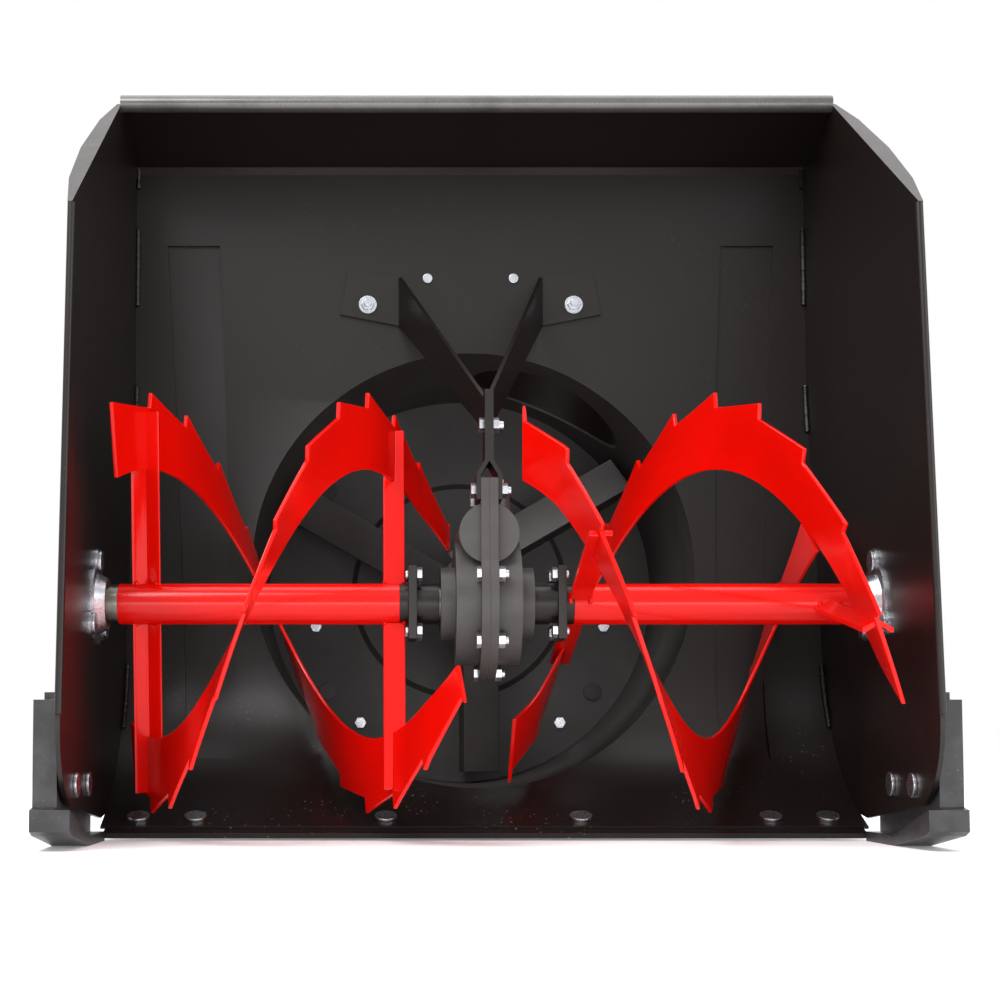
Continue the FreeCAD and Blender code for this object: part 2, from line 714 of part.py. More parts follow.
def wall_bolt(name, x, z):
    """A bolt with its head behind the wall, long enough for a nut in front of the brace's tab."""
    head = hexagon(name + "_head", "Y", S.small_bolt * 1.85, (x, tab_y + S.sheet, z), S.small_bolt * 1.1)
    shank = cylinder(name + "_shank", "Y", S.small_bolt, (x, tab_y - strip - 10, z), 10 + strip + S.sheet)
    return fuse(name, [head, shank])


def flange_nut(name, x, z):
    """A nut with a broad foot, in front of the brace's tab."""
    height = S.small_bolt * 1.6
    face = tab_y - strip
    whole = fuse(name + "_solid", [
        hexagon(name + "_hex", "Y", S.small_bolt * 1.85, (x, face - height, z), height),
        cylinder(name + "_foot", "Y", S.small_bolt * 2.5, (x, face - 1.3, z), 1.3)])
    return cut(name, whole, cylinder(name + "_thread", "Y", S.small_bolt, (x, face - height, z), height))


join_bolt = hex_bolt("join_bolt", "X", S.small_bolt, (-strip, fore(-30), above(124)), 14)
join_nut = nut("join_nut", "X", S.small_bolt, (strip, fore(-30), above(124)))
subpart(group("brace_bolt_group", [join_bolt] + [
    wall_bolt(f"brace_bolt_{side:+d}", 86 * side, above(267)) for side in (-1, 1)]), "brace_bolts")
subpart(group("brace_nut_group", [join_nut] + [
    flange_nut(f"brace_nut_{side:+d}", 86 * side, above(267))
    for side in (-1, 1)]), "brace_nuts")
subpart(group("wall_screw_group", [
    fuse(f"wall_screw_{side:+d}", [
        cylinder(f"wall_screw_head_{side:+d}", "Y", 4, (36 * side, tab_y - 2, above(290)), 2),
        cylinder(f"wall_screw_shank_{side:+d}", "Y", screw_radius, (36 * side, tab_y, above(290)), 8)])
    for side in (-1, 1)]), "wall_screws")

# ---------------------------------------------------------------- gearbox

seam = 0.5
cavity_half = S.wheel_width / 2 + 2
cavity_radius = S.wheel_tip + S.wheel_room
worm_bore = S.worm_crest + 3
worm_front = fore(-41)
worm_back = fore(60)
front_seat = worm_front + 5
worm_length = worm_back - worm_front
boss_reach = 33.0
bush_outer = S.shaft_radius + 3
bearing_outer = 16.0
shaft_front = 7.0
case_solid = fuse("case_solid", [
    cylinder("wheel_house", "X", S.case_radius, (-S.case_half, axle_y, axle_z), S.case_half * 2),
    cylinder("side_boss", "X", 26, (-boss_reach, axle_y, axle_z), boss_reach * 2),
    cylinder("worm_house", "Y", 21, (0, worm_front, 0), worm_length),
    cylinder("case_rim", "X", S.case_radius + S.case_rim, (-flange_half, axle_y, axle_z), flange_half * 2),
    box("case_brow", (-flange_half, fore(-46), above(10)), (flange_half, fore(46), case_top)),
    cylinder("plug_boss", "Z", 8, (9, fore(0), 10), case_top - 10),
])
case_cavity = group("case_cavity", [
    cylinder("wheel_space", "X", cavity_radius, (-cavity_half, axle_y, axle_z), cavity_half * 2),
    cylinder("worm_space", "Y", worm_bore, (0, front_seat, 0), worm_back - front_seat - 12),
    cylinder("front_bearing_seat", "Y", bearing_outer, (0, front_seat, 0), 10),
    cylinder("rear_bearing_seat", "Y", bearing_outer, (0, worm_back - 12, 0), 12),
    cylinder("axle_seat", "X", bush_outer, (-boss_reach - 5, axle_y, axle_z), boss_reach * 2 + 10),
    cylinder("plug_seat", "Z", 5, (9, fore(0), 10), 60),
])
case_bolt_radius = S.case_radius + 6
case_bolt_spots = [(fore(case_bolt_radius * cosine(angle)), above(case_bolt_radius * sine(angle)))
                   for angle in (20, -35, -90, -145, -200)]
case_bolt_spots += [(fore(34), clamp_z), (fore(-30), clamp_z)]
case_bolt_holes = group("case_bolt_holes", [
    cylinder(f"case_hole_{number}", "X", S.small_bolt, (-20, y, z), 40)
    for number, (y, z) in enumerate(case_bolt_spots)])
case_hollow = cut("case_hollow", cut("case_carved", case_solid, case_cavity), case_bolt_holes)
subpart(common("right_case_half", case_hollow,
               box("right_half", (seam / 2, fore(-150), above(-150)), (80, fore(150), above(150)))),
        "gearbox_case_right")
subpart(common("left_case_half", case_hollow,
               box("left_half", (-80, fore(-150), above(-150)), (-seam / 2, fore(150), above(150)))),
        "gearbox_case_left")
subpart(common("gasket_slice", cut("gasket_carved", cut("gasket_plain", group("gasket_solid", [case_solid]),
                                                       case_cavity), case_bolt_holes),
               box("gasket_space", (-seam / 2, fore(-150), above(-150)), (seam / 2, fore(150), above(150)))),
        "case_gasket")
plug_top = case_top
subpart(fuse("plug_solid", [
    hexagon("plug_head", "Z", 7, (9, fore(0), plug_top), 5),
    cylinder("plug_thread", "Z", 5, (9, fore(0), plug_top - 10), 10)]), "oil_plug")
bolt_start = {number: -flange_half for number in range(len(case_bolt_spots))}
clamp_number = len(case_bolt_spots) - 1
bolt_start[clamp_number] = -flange_half - strip
subpart(group("case_bolt_group", [
    hex_bolt(f"case_bolt_{number}", "X", S.small_bolt, (bolt_start[number], y, z),
             -2.0 * bolt_start[number] + 7)
    for number, (y, z) in enumerate(case_bolt_spots)]), "case_bolts")
subpart(group("case_nut_group", [
    nut(f"case_nut_{number}", "X", S.small_bolt, (-bolt_start[number], y, z))
    for number, (y, z) in enumerate(case_bolt_spots)]), "case_nuts")
subpart(group("worm_bearing_group", [
    ring("front_worm_bearing", "Y", bearing_outer, shaft_front + S.fit, (0, front_seat, 0), 10),
    ring("rear_worm_bearing", "Y", bearing_outer, S.impeller_shaft + S.fit, (0, worm_back - 10, 0), 10),
]), "worm_bearings")
subpart(group("output_bush_group", [
    ring(f"output_bush_{x:+.0f}", "X", bush_outer, S.shaft_radius + S.fit, (x, axle_y, axle_z), 16)
    for x in (-30.0, 14.0)]), "output_bushings")
subpart(group("output_seal_group", [
    ring(f"output_seal_{x:+.0f}", "X", bush_outer, S.shaft_radius + S.fit, (x, axle_y, axle_z), 3)
    for x in (-boss_reach, boss_reach - 3)]), "output_seals")

# ---------------------------------------------------------------- augers

shaft_end = half + S.plate + 4
key_side = 3.0
shaft_key_space = box("shaft_key_space", (-S.wheel_width / 2, fore(-key_side), axle_z + S.shaft_radius - 3),
                      (S.wheel_width / 2, fore(key_side), axle_z + S.shaft_radius + 4))
subpart(cut("output_shaft_cut", cylinder("output_bar", "X", S.shaft_radius, (-shaft_end, axle_y, axle_z),
                                         shaft_end * 2), shaft_key_space), "output_shaft")
subpart(box("wheel_key_box", (-S.wheel_width / 2, fore(-key_side), axle_z + S.shaft_radius - 3),
            (S.wheel_width / 2, fore(key_side), axle_z + S.shaft_radius + 3)), "wheel_key")
wheel_root = S.wheel_tip - 5.5
tooth_gap_half = 360.0 / WHEEL_TEETH / 4


def tooth_gaps():
    """The wheel's tooth spaces, tapered like the worm's thread."""
    gaps = []
    for number in range(WHEEL_TEETH):
        angle = 360.0 * number / WHEEL_TEETH
        corners = [(S.wheel_tip + 2, angle - tooth_gap_half * 1.4),
                   (S.wheel_tip + 2, angle + tooth_gap_half * 1.4),
                   (wheel_root, angle + tooth_gap_half * 0.8), (wheel_root, angle - tooth_gap_half * 0.8)]
        points = [Vector(-20, axle_y.number + r.number * math.cos(math.radians(a)),
                         axle_z.number + r.number * math.sin(math.radians(a))) for r, a in corners]
        face = Part.Face(Part.makePolygon(points + points[:1]))
        gaps.append(face.extrude(Vector(40, 0, 0)))
    return Part.makeCompound(gaps)


wheel_blank = cylinder("wheel_blank", "X", S.wheel_tip, (-S.wheel_width / 2, axle_y, axle_z), S.wheel_width)
subpart(cut("worm_wheel_cut", wheel_blank, coded("tooth_gaps", tooth_gaps()),
            cylinder("wheel_bore", "X", S.shaft_radius, (-20, axle_y, axle_z), 40),
            box("wheel_keyway", (-20, fore(-key_side), axle_z + S.shaft_radius - 3),
                (20, fore(key_side), axle_z + S.shaft_radius + 3))), "worm_wheel")

hub_start = boss_reach + 1
tube_start = 62.0
collar_start = half - 17
right_hub = cut("right_hub", fuse("right_hub_solid", [
    cylinder("hub_sleeve", "X", S.tube_radius, (hub_start, axle_y, axle_z), tube_start - hub_start),
    box("hub_plate", (tube_start - 12, fore(-20), above(-26)), (tube_start - 6, fore(20), above(26))),
]), cylinder("hub_bore", "X", S.shaft_radius, (hub_start - 5, axle_y, axle_z), 60))
subpart(group("hub_pair", [right_hub, mirrored("left_hub", right_hub)]), "hub_flanges")
right_tube = subpart(ring("right_tube", "X", S.tube_radius, S.shaft_radius, (tube_start, axle_y, axle_z),
                          collar_start - tube_start), "right_auger_tube")
subpart(mirrored("left_tube_mirror", right_tube), "left_auger_tube")
right_collar = ring("right_collar", "X", 14, S.shaft_radius, (collar_start, axle_y, axle_z), 7)
subpart(group("collar_group", [right_collar, mirrored("left_collar", right_collar)]), "shaft_collars")
hub_bolt_spots = [(x, y, z) for x in (-1, 1) for y in (-13, 13) for z in (-20, 20)]
subpart(group("hub_bolt_group", [
    fuse(f"hub_bolt_{x}_{y}_{z}", [
        hexagon(f"hub_bolt_head_{x}_{y}_{z}", "X", 5.5, (x * (tube_start - 14) - 2, fore(y), above(z)), 4),
        cylinder(f"hub_bolt_tail_{x}_{y}_{z}", "X", 3, (x * (tube_start - 5) - 1, fore(y), above(z)), 2),
    ]) for x, y, z in hub_bolt_spots]), "hub_bolts")

ribbon_outer_end = half - S.ribbon_end_gap
ribbon_run = ribbon_outer_end - S.ribbon_inner_end
ribbon_pitch = ribbon_run * 360 / S.ribbon_sweep


def toothed_prism():
    """The ribbon's outline seen along the auger: each tooth starts at its tip and falls to its root."""
    step = S.ribbon_sweep.number / TEETH
    points = [Vector(0, 0, 0)]
    for tooth in range(-1, TEETH + 1):
        for radius, angle in ((S.ribbon_tip.number, tooth * step),
                              (S.ribbon_root.number, (tooth + 0.97) * step)):
            radians = math.radians(-angle)
            points.append(Vector(radius * math.cos(radians), radius * math.sin(radians), 0))
    face = Part.Face(Part.makePolygon(points + points[:1]))
    prism = face.extrude(Vector(0, 0, ribbon_run.number + 20))
    prism.translate(Vector(0, 0, -10))
    return prism


def ribbon(label, side, phase):
    """One toothed ribbon: a helix about the auger axis that starts at its outer end."""
    half_thick = S.ribbon_thick.number / 2
    inner = S.ribbon_inner.number
    outer = S.ribbon_tip.number + 2
    helix = Part.makeHelix(ribbon_pitch.number, ribbon_run.number, inner, 0, True)
    corners = [Vector(inner, 0, -half_thick), Vector(outer, 0, -half_thick), Vector(outer, 0, half_thick),
               Vector(inner, 0, half_thick)]
    blade = Part.Wire(helix.Edges).makePipeShell([Part.makePolygon(corners + corners[:1])], True, True)
    blade = blade.common(toothed_prism()).Solids[0]
    along_auger = Rotation(Vector(0, 1, 0), Vector(0, 0, 1), Vector(1, 0, 0), "ZXY")
    spin = Rotation(Vector(1, 0, 0), 180 - phase)
    start = Vector(-ribbon_outer_end.number, axle_y.number, axle_z.number)
    item = coded(label + "_shape", blade, Placement(start, spin.multiply(along_auger)))
    if side > 0:
        item = mirrored(label + "_mirror", item)
    return subpart(item, label)


ribbons = {
    "left": [ribbon("left_ribbon_a", -1, S.left_phase.number),
             ribbon("left_ribbon_b", -1, S.left_phase.number + 180)],
    "right": [ribbon("right_ribbon_c", 1, S.right_phase.number + 180),
              ribbon("right_ribbon_d", 1, S.right_phase.number)],
}


def ribbon_angle(side, distance):
    """The angle of a side's first ribbon at a distance from the middle of the head."""
    phase = S.left_phase if side < 0 else S.right_phase
    return phase.number + 360 * (ribbon_outer_end.number - distance) / ribbon_pitch.number


def arm(label, side, distance, outline):
    """A bar across the auger that carries both ribbons, trimmed to them and to the tube."""
    sign = "left" if side < 0 else "right"
    body = profile(label + "_bar", "XY", outline, -S.arm_reach, S.arm_reach * 2)
    turned = place(group(label + "_turned", [body]), (distance * side, axle_y, axle_z),
                   Rotation(Vector(1, 0, 0), 90 - ribbon_angle(side, distance)))
    tube_space = cylinder(label + "_tube_space", "X", S.tube_radius, (-half, axle_y, axle_z), S.clear_width)
    return cut(label + "_cut", turned, tube_space, *ribbons[sign])


angle_iron = [(-10, -4), (-8, -4), (0, 1), (8, -4), (10, -4), (10, -1), (0, 4.5), (-10, -1)]
flat_strap = [(-7.75, -2), (7.75, -2), (7.75, 2), (-7.75, 2)]
outer_arm_place = half.number - 37
subpart(arm("left_outer_arm", -1, outer_arm_place, angle_iron), "left_outer_arms")
subpart(arm("right_outer_arm", 1, outer_arm_place, angle_iron), "right_outer_arms")
subpart(group("inner_arm_pair", [
    arm("left_inner_arm", -1, 66.0, flat_strap), arm("right_inner_arm", 1, 66.0, flat_strap)]), "inner_arms")

# ---------------------------------------------------------------- impeller and its drive

shaft_rear = 62.0
shaft_step = fore(36)
impeller_front = -S.impeller_depth - 14
pin_radius = 3.0
pin_places = (impeller_front + 25, impeller_front + 70)
pulley_start = 24.0
pulley_width = 18.0
pulley_hub = 26.0
key_half = 2.5
tapping = 4.0
shaft_solid = fuse("impeller_shaft_solid", [
    cylinder("shaft_nose", "Y", shaft_front, (0, front_seat + 0.5, 0), shaft_step - front_seat - 0.5),
    cylinder("shaft_body", "Y", S.impeller_shaft, (0, shaft_step, 0), shaft_rear - shaft_step),
])
pulley_key_space = box("pulley_key_space", (-key_half, pulley_start, S.impeller_shaft - key_half),
                       (key_half, pulley_start + pulley_hub, S.impeller_shaft + key_half))
pin_holes = [cylinder(f"pin_hole_{number}", "X", pin_radius, (-30, y, 0), 60)
             for number, y in enumerate(pin_places)]
shaft_tapping = cylinder("shaft_tapping", "Y", tapping, (0, shaft_rear - 18, 0), 30)
subpart(cut("impeller_shaft_cut", shaft_solid, pulley_key_space, shaft_tapping, *pin_holes), "impeller_shaft")


def worm_thread():
    """Two thread starts wound on the worm's core."""
    lead = 20.4
    length = 44.0
    core = 8.2
    starts = []
    for turn in (0, 180):
        helix = Part.makeHelix(lead, length, core, 0, False)
        crest = S.worm_crest.number
        corners = [Vector(core, 0, -2.6), Vector(crest, 0, -1.5), Vector(crest, 0, 1.5), Vector(core, 0, 2.6)]
        thread = Part.Wire(helix.Edges).makePipeShell([Part.makePolygon(corners + corners[:1])], True, True)
        thread.rotate(Vector(), Vector(0, 0, 1), turn)
        starts.append(thread)
    core_bar = Part.makeCylinder(core + 0.2, length + 6, Vector(0, 0, -3))
    return core_bar.multiFuse(starts).cut(Part.makeCylinder(shaft_front, length + 20, Vector(0, 0, -10)))


subpart(coded("worm_shape", worm_thread(), Placement(Vector(0, axle_y.number - 22, 0), AXES["Y"])), "worm")
blade_thick = 3.0
hub_radius = 20.0
subpart(cut("impeller_hub_cut", ring("impeller_hub_ring", "Y", hub_radius, S.impeller_shaft,
                                     (0, impeller_front, 0), S.impeller_depth), *pin_holes), "impeller_hub")
blade_angles = [30, 150, 270]


def blade(angle):
    """A flat radial blade whose front edge is folded into a scoop."""
    body = profile(f"blade_{angle}", "XY", [
        (blade_thick / 2, impeller_front), (-30, impeller_front + 16), (-30, impeller_front + 19),
        (-blade_thick / 2, impeller_front + 4), (-blade_thick / 2, impeller_front + S.impeller_depth),
        (blade_thick / 2, impeller_front + S.impeller_depth),
    ], 0, S.impeller_reach - 4)
    start = (0, impeller_front - 5, 0)
    reach = cylinder(f"blade_reach_{angle}", "Y", S.impeller_reach, start, S.impeller_depth + 10)
    trimmed = cut(f"blade_trimmed_{angle}", common(f"blade_round_{angle}", body, reach),
                  cylinder(f"blade_root_{angle}", "Y", hub_radius, start, S.impeller_depth + 10))
    return place(trimmed, (0, 0, 0), Rotation(Vector(0, 1, 0), 90 - angle))


subpart(group("blade_group", [blade(angle) for angle in blade_angles]), "impeller_blades")
subpart(group("roll_pin_group", [
    ring(f"roll_pin_{number}", "X", pin_radius, 1.6, (-hub_radius - 1, y, 0), hub_radius * 2 + 2)
    for number, y in enumerate(pin_places)]), "roll_pins")

housing_front = -10.0
rear_bearing_outer = 20.0
housing_solid = fuse("bearing_house_solid", [
    cylinder("house_barrel", "Y", housing_seat, (0, housing_front, 0), 26),
    cylinder("house_plate", "Y", 52, (0, 0, 0), 4)])
house_holes = [cylinder(f"house_hole_{angle}", "Y", S.small_bolt,
                        (housing_bolt_radius * cosine(angle), -5, housing_bolt_radius * sine(angle)), 20)
               for angle in housing_bolt_angles]
house_bore = cylinder("house_bore", "Y", rear_bearing_outer, (0, -20, 0), 60)
subpart(cut("bearing_house_cut", housing_solid, house_bore, *house_holes), "rear_bearing_housing")
subpart(ring("rear_bearing_ring", "Y", rear_bearing_outer, S.impeller_shaft + S.fit,
             (0, housing_front + 2, 0), 22), "rear_bearing")

groove_outline = [
    Vector(S.pulley_radius.number + 1, pulley_start + 2, 0),
    Vector(S.pulley_radius.number - 13, pulley_start + 6, 0),
    Vector(S.pulley_radius.number - 13, pulley_start + 12, 0),
    Vector(S.pulley_radius.number + 1, pulley_start + 16, 0),
]
belt_groove = coded("belt_groove", Part.Face(Part.makePolygon(groove_outline + groove_outline[:1]))
                    .revolve(Vector(), Vector(0, 1, 0), 360))
pulley_solid = fuse("pulley_with_hub", [
    cut("pulley_grooved", cylinder("pulley_disc", "Y", S.pulley_radius, (0, pulley_start, 0), pulley_width),
        belt_groove),
    cylinder("pulley_hub_barrel", "Y", 20, (0, pulley_start, 0), pulley_hub)])
subpart(cut("drive_pulley_cut", pulley_solid, pulley_key_space,
            cylinder("pulley_bore", "Y", S.impeller_shaft, (0, 0, 0), 80)), "drive_pulley")
subpart(box("pulley_key_box", (-key_half, pulley_start, S.impeller_shaft - key_half),
            (key_half, pulley_start + pulley_hub, S.impeller_shaft + key_half)), "pulley_key")
subpart(fuse("pulley_bolt_solid", [
    hexagon("pulley_bolt_head", "Y", 7.5, (0, shaft_rear + 2, 0), 5),
    cylinder("pulley_washer", "Y", 14, (0, shaft_rear, 0), 2),
    cylinder("pulley_bolt_shank", "Y", tapping, (0, shaft_rear - 18, 0), 18)]), "pulley_bolt")

# ---------------------------------------------------------------- skid shoes

shoe_inside = half + S.plate + 2.2
web = 5.8
shoe_width = 16.0
sole = 7.0
sole_front = fore(-48)
shoe_back = fore(20)
nose_face = fore(-128)
nose_low = above(-157)
nose_high = above(-143)
web_outline = [
    (fore(-114), above(-67)), (shoe_back, above(-67)), (shoe_back, ground), (sole_front, ground),
    (fore(-118), above(-160)), (fore(-118), above(-141))]
foot_outline = [
    (shoe_back, ground + 17), (shoe_back, ground), (sole_front, ground), (fore(-120), above(-160)),
    (nose_face, nose_low), (nose_face, nose_high), (fore(-114), above(-141)), (sole_front, ground + 17)]
ledge_outline = [
    (shoe_back, ground + sole), (shoe_back, ground), (sole_front, ground), (fore(-120), above(-160)),
    (nose_face, nose_low), (nose_face, nose_high), (fore(-118), above(-145)), (sole_front, ground + sole)]
front_flange_outline = [
    (fore(-118), above(-72)), (fore(-110), above(-72)), (fore(-108), above(-143)), (fore(-118), above(-143))]
slot_half = S.bolt + 0.3


def slot(number, y):
    """A vertical slot for a skid bolt, as long as the shoe's travel."""
    low = skid_bolt_z - S.skid_up
    high = skid_bolt_z + S.skid_down
    start = shoe_inside - 5
    return [
        box(f"slot_{number}", (start, fore(y) - slot_half, low), (start + 40, fore(y) + slot_half, high)),
        cylinder(f"slot_low_{number}", "X", slot_half, (start, fore(y), low), 40),
        cylinder(f"slot_high_{number}", "X", slot_half, (start, fore(y), high), 40)]


slots = [piece for number, y in enumerate(skid_bolt_y) for piece in slot(number, y)]
shoe_solid = fuse("shoe_solid", [
    profile("shoe_web", "YZ", web_outline, shoe_inside, web),
    profile("shoe_foot", "YZ", foot_outline, shoe_inside, shoe_width),
    profile("shoe_front", "YZ", front_flange_outline, shoe_inside, shoe_width),
    profile("shoe_ledge", "YZ", ledge_outline, half - 5, shoe_inside - half + 5),
    box("shoe_lip", (shoe_inside, fore(-112), above(-72)), (shoe_inside + 10, shoe_back, above(-67))),
])
right_shoe = subpart(cut("right_shoe_cut", shoe_solid, *slots), "right_skid_shoe")
subpart(mirrored("left_shoe_mirror", right_shoe), "left_skid_shoe")
skid_bolt_pieces = []
skid_nut_pieces = []
for number, y in enumerate(skid_bolt_y):
    bolt_piece = fuse(f"skid_bolt_{number}", [
        cylinder(f"skid_bolt_head_{number}", "X", S.bolt * 2.1, (half - 2.4, fore(y), skid_bolt_z), 2.4),
        cylinder(f"skid_bolt_shank_{number}", "X", S.bolt, (half, fore(y), skid_bolt_z), S.plate + 17)])
    nut_piece = nut(f"skid_nut_{number}", "X", S.bolt, (shoe_inside + web + S.free_gap, fore(y), skid_bolt_z))
    skid_bolt_pieces += [bolt_piece, mirrored(f"skid_bolt_left_{number}", bolt_piece)]
    skid_nut_pieces += [nut_piece, mirrored(f"skid_nut_left_{number}", nut_piece)]
subpart(group("side_bolt_group", flange_bolts + skid_bolt_pieces), "side_plate_bolts")
subpart(group("side_nut_group", flange_nuts + skid_nut_pieces), "side_plate_nuts")

# ---------------------------------------------------------------- checks and files

doc.recompute()
failed = [item.Label for item in doc.Objects if "Invalid" in item.State or "Error" in item.State]
for label, item in subparts.items():
    if item.Shape.isNull() or not item.Shape.isValid() or not item.Shape.Solids:
        failed.append(label)
if failed:
    raise RuntimeError(f"these objects failed: {failed}")
os.makedirs("parts", exist_ok=True)
for label, item in subparts.items():
    item.Shape.exportStep(f"parts/{label}.step")
    solids = len(item.Shape.Solids)
    print(f"{label}: {solids} solid(s), {item.Shape.Volume / 1000:.1f} cm3, {item.Shape.BoundBox}")
print(len(subparts), "sub-parts")
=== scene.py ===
import json
import logging
import math
import random
from dataclasses import dataclass, field
from enum import Enum
from typing import Callable, Iterable, Sequence

import bmesh
import bpy
from mathutils import Matrix, Vector


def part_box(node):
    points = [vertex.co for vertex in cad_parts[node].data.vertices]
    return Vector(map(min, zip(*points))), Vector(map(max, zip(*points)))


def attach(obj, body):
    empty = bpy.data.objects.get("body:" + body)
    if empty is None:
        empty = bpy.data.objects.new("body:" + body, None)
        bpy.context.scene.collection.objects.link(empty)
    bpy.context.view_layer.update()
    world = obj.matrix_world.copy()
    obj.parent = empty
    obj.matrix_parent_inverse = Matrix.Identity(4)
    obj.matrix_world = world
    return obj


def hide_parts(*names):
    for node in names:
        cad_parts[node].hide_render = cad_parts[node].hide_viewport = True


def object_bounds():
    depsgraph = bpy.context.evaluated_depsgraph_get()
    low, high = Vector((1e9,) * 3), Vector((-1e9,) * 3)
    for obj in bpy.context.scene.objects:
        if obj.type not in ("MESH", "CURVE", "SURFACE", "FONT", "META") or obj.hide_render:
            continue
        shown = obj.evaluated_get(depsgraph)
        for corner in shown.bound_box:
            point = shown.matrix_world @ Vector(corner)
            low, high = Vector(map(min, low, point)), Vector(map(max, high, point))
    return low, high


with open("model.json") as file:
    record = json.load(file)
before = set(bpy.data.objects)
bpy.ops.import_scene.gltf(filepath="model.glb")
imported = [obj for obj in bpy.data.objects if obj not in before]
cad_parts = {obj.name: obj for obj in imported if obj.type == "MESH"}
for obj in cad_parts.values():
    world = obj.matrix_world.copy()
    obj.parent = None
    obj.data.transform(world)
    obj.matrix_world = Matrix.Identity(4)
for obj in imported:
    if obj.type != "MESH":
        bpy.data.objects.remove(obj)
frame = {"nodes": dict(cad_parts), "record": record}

MM = 0.001
CAD_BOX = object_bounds()
LOG = logging.getLogger("snow_blower_head")

# Dust lies thickest near the floor of the housing: its heights, and the spacing of specks and patches.
DUST_TOP_MM = -90.0
DUST_FLOOR_MM = -200.0
SPECK_MM = 5.0
PATCH_MM = 60.0

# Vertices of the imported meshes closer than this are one.
MERGE_MM = 0.002
# Neighbouring faces that turn less than this are one flat face.
FLAT_DEG = 0.6


# ---------------------------------------------------------------- finishes

def srgb(code: str) -> tuple[float, float, float, float]:
    """Turns an sRGB hex colour to the linear one that shaders read.

    Args:
        code: Six hex digits, such as "b11f12".

    Returns:
        Linear red, green, blue and an alpha of 1.
    """
    channels = [int(code[start:start + 2], 16) / 255 for start in (0, 2, 4)]
    linear = [value / 12.92 if value <= 0.04045 else ((value + 0.055) / 1.055) ** 2.4
              for value in channels]
    return (*linear, 1.0)


def add_node(tree: bpy.types.NodeTree, kind: str, links: dict | None = None, **settings) -> bpy.types.Node:
    """Adds a node with its settings and its incoming links.

    Args:
        tree: The material's node tree.
        kind: The node's type name, such as "ShaderNodeTexNoise".
        links: Input name or number to the socket that feeds it.
        settings: Node properties, or input values where the name is an input's, with spaces as underscores.

    Returns:
        The new node.
    """
    node = tree.nodes.new(kind)
    for name, value in settings.items():
        if name[0].islower():
            setattr(node, name, value)
        else:
            node.inputs[name.replace("_", " ")].default_value = value
    for key, source in (links or {}).items():
        tree.links.new(source, node.inputs[key])
    return node


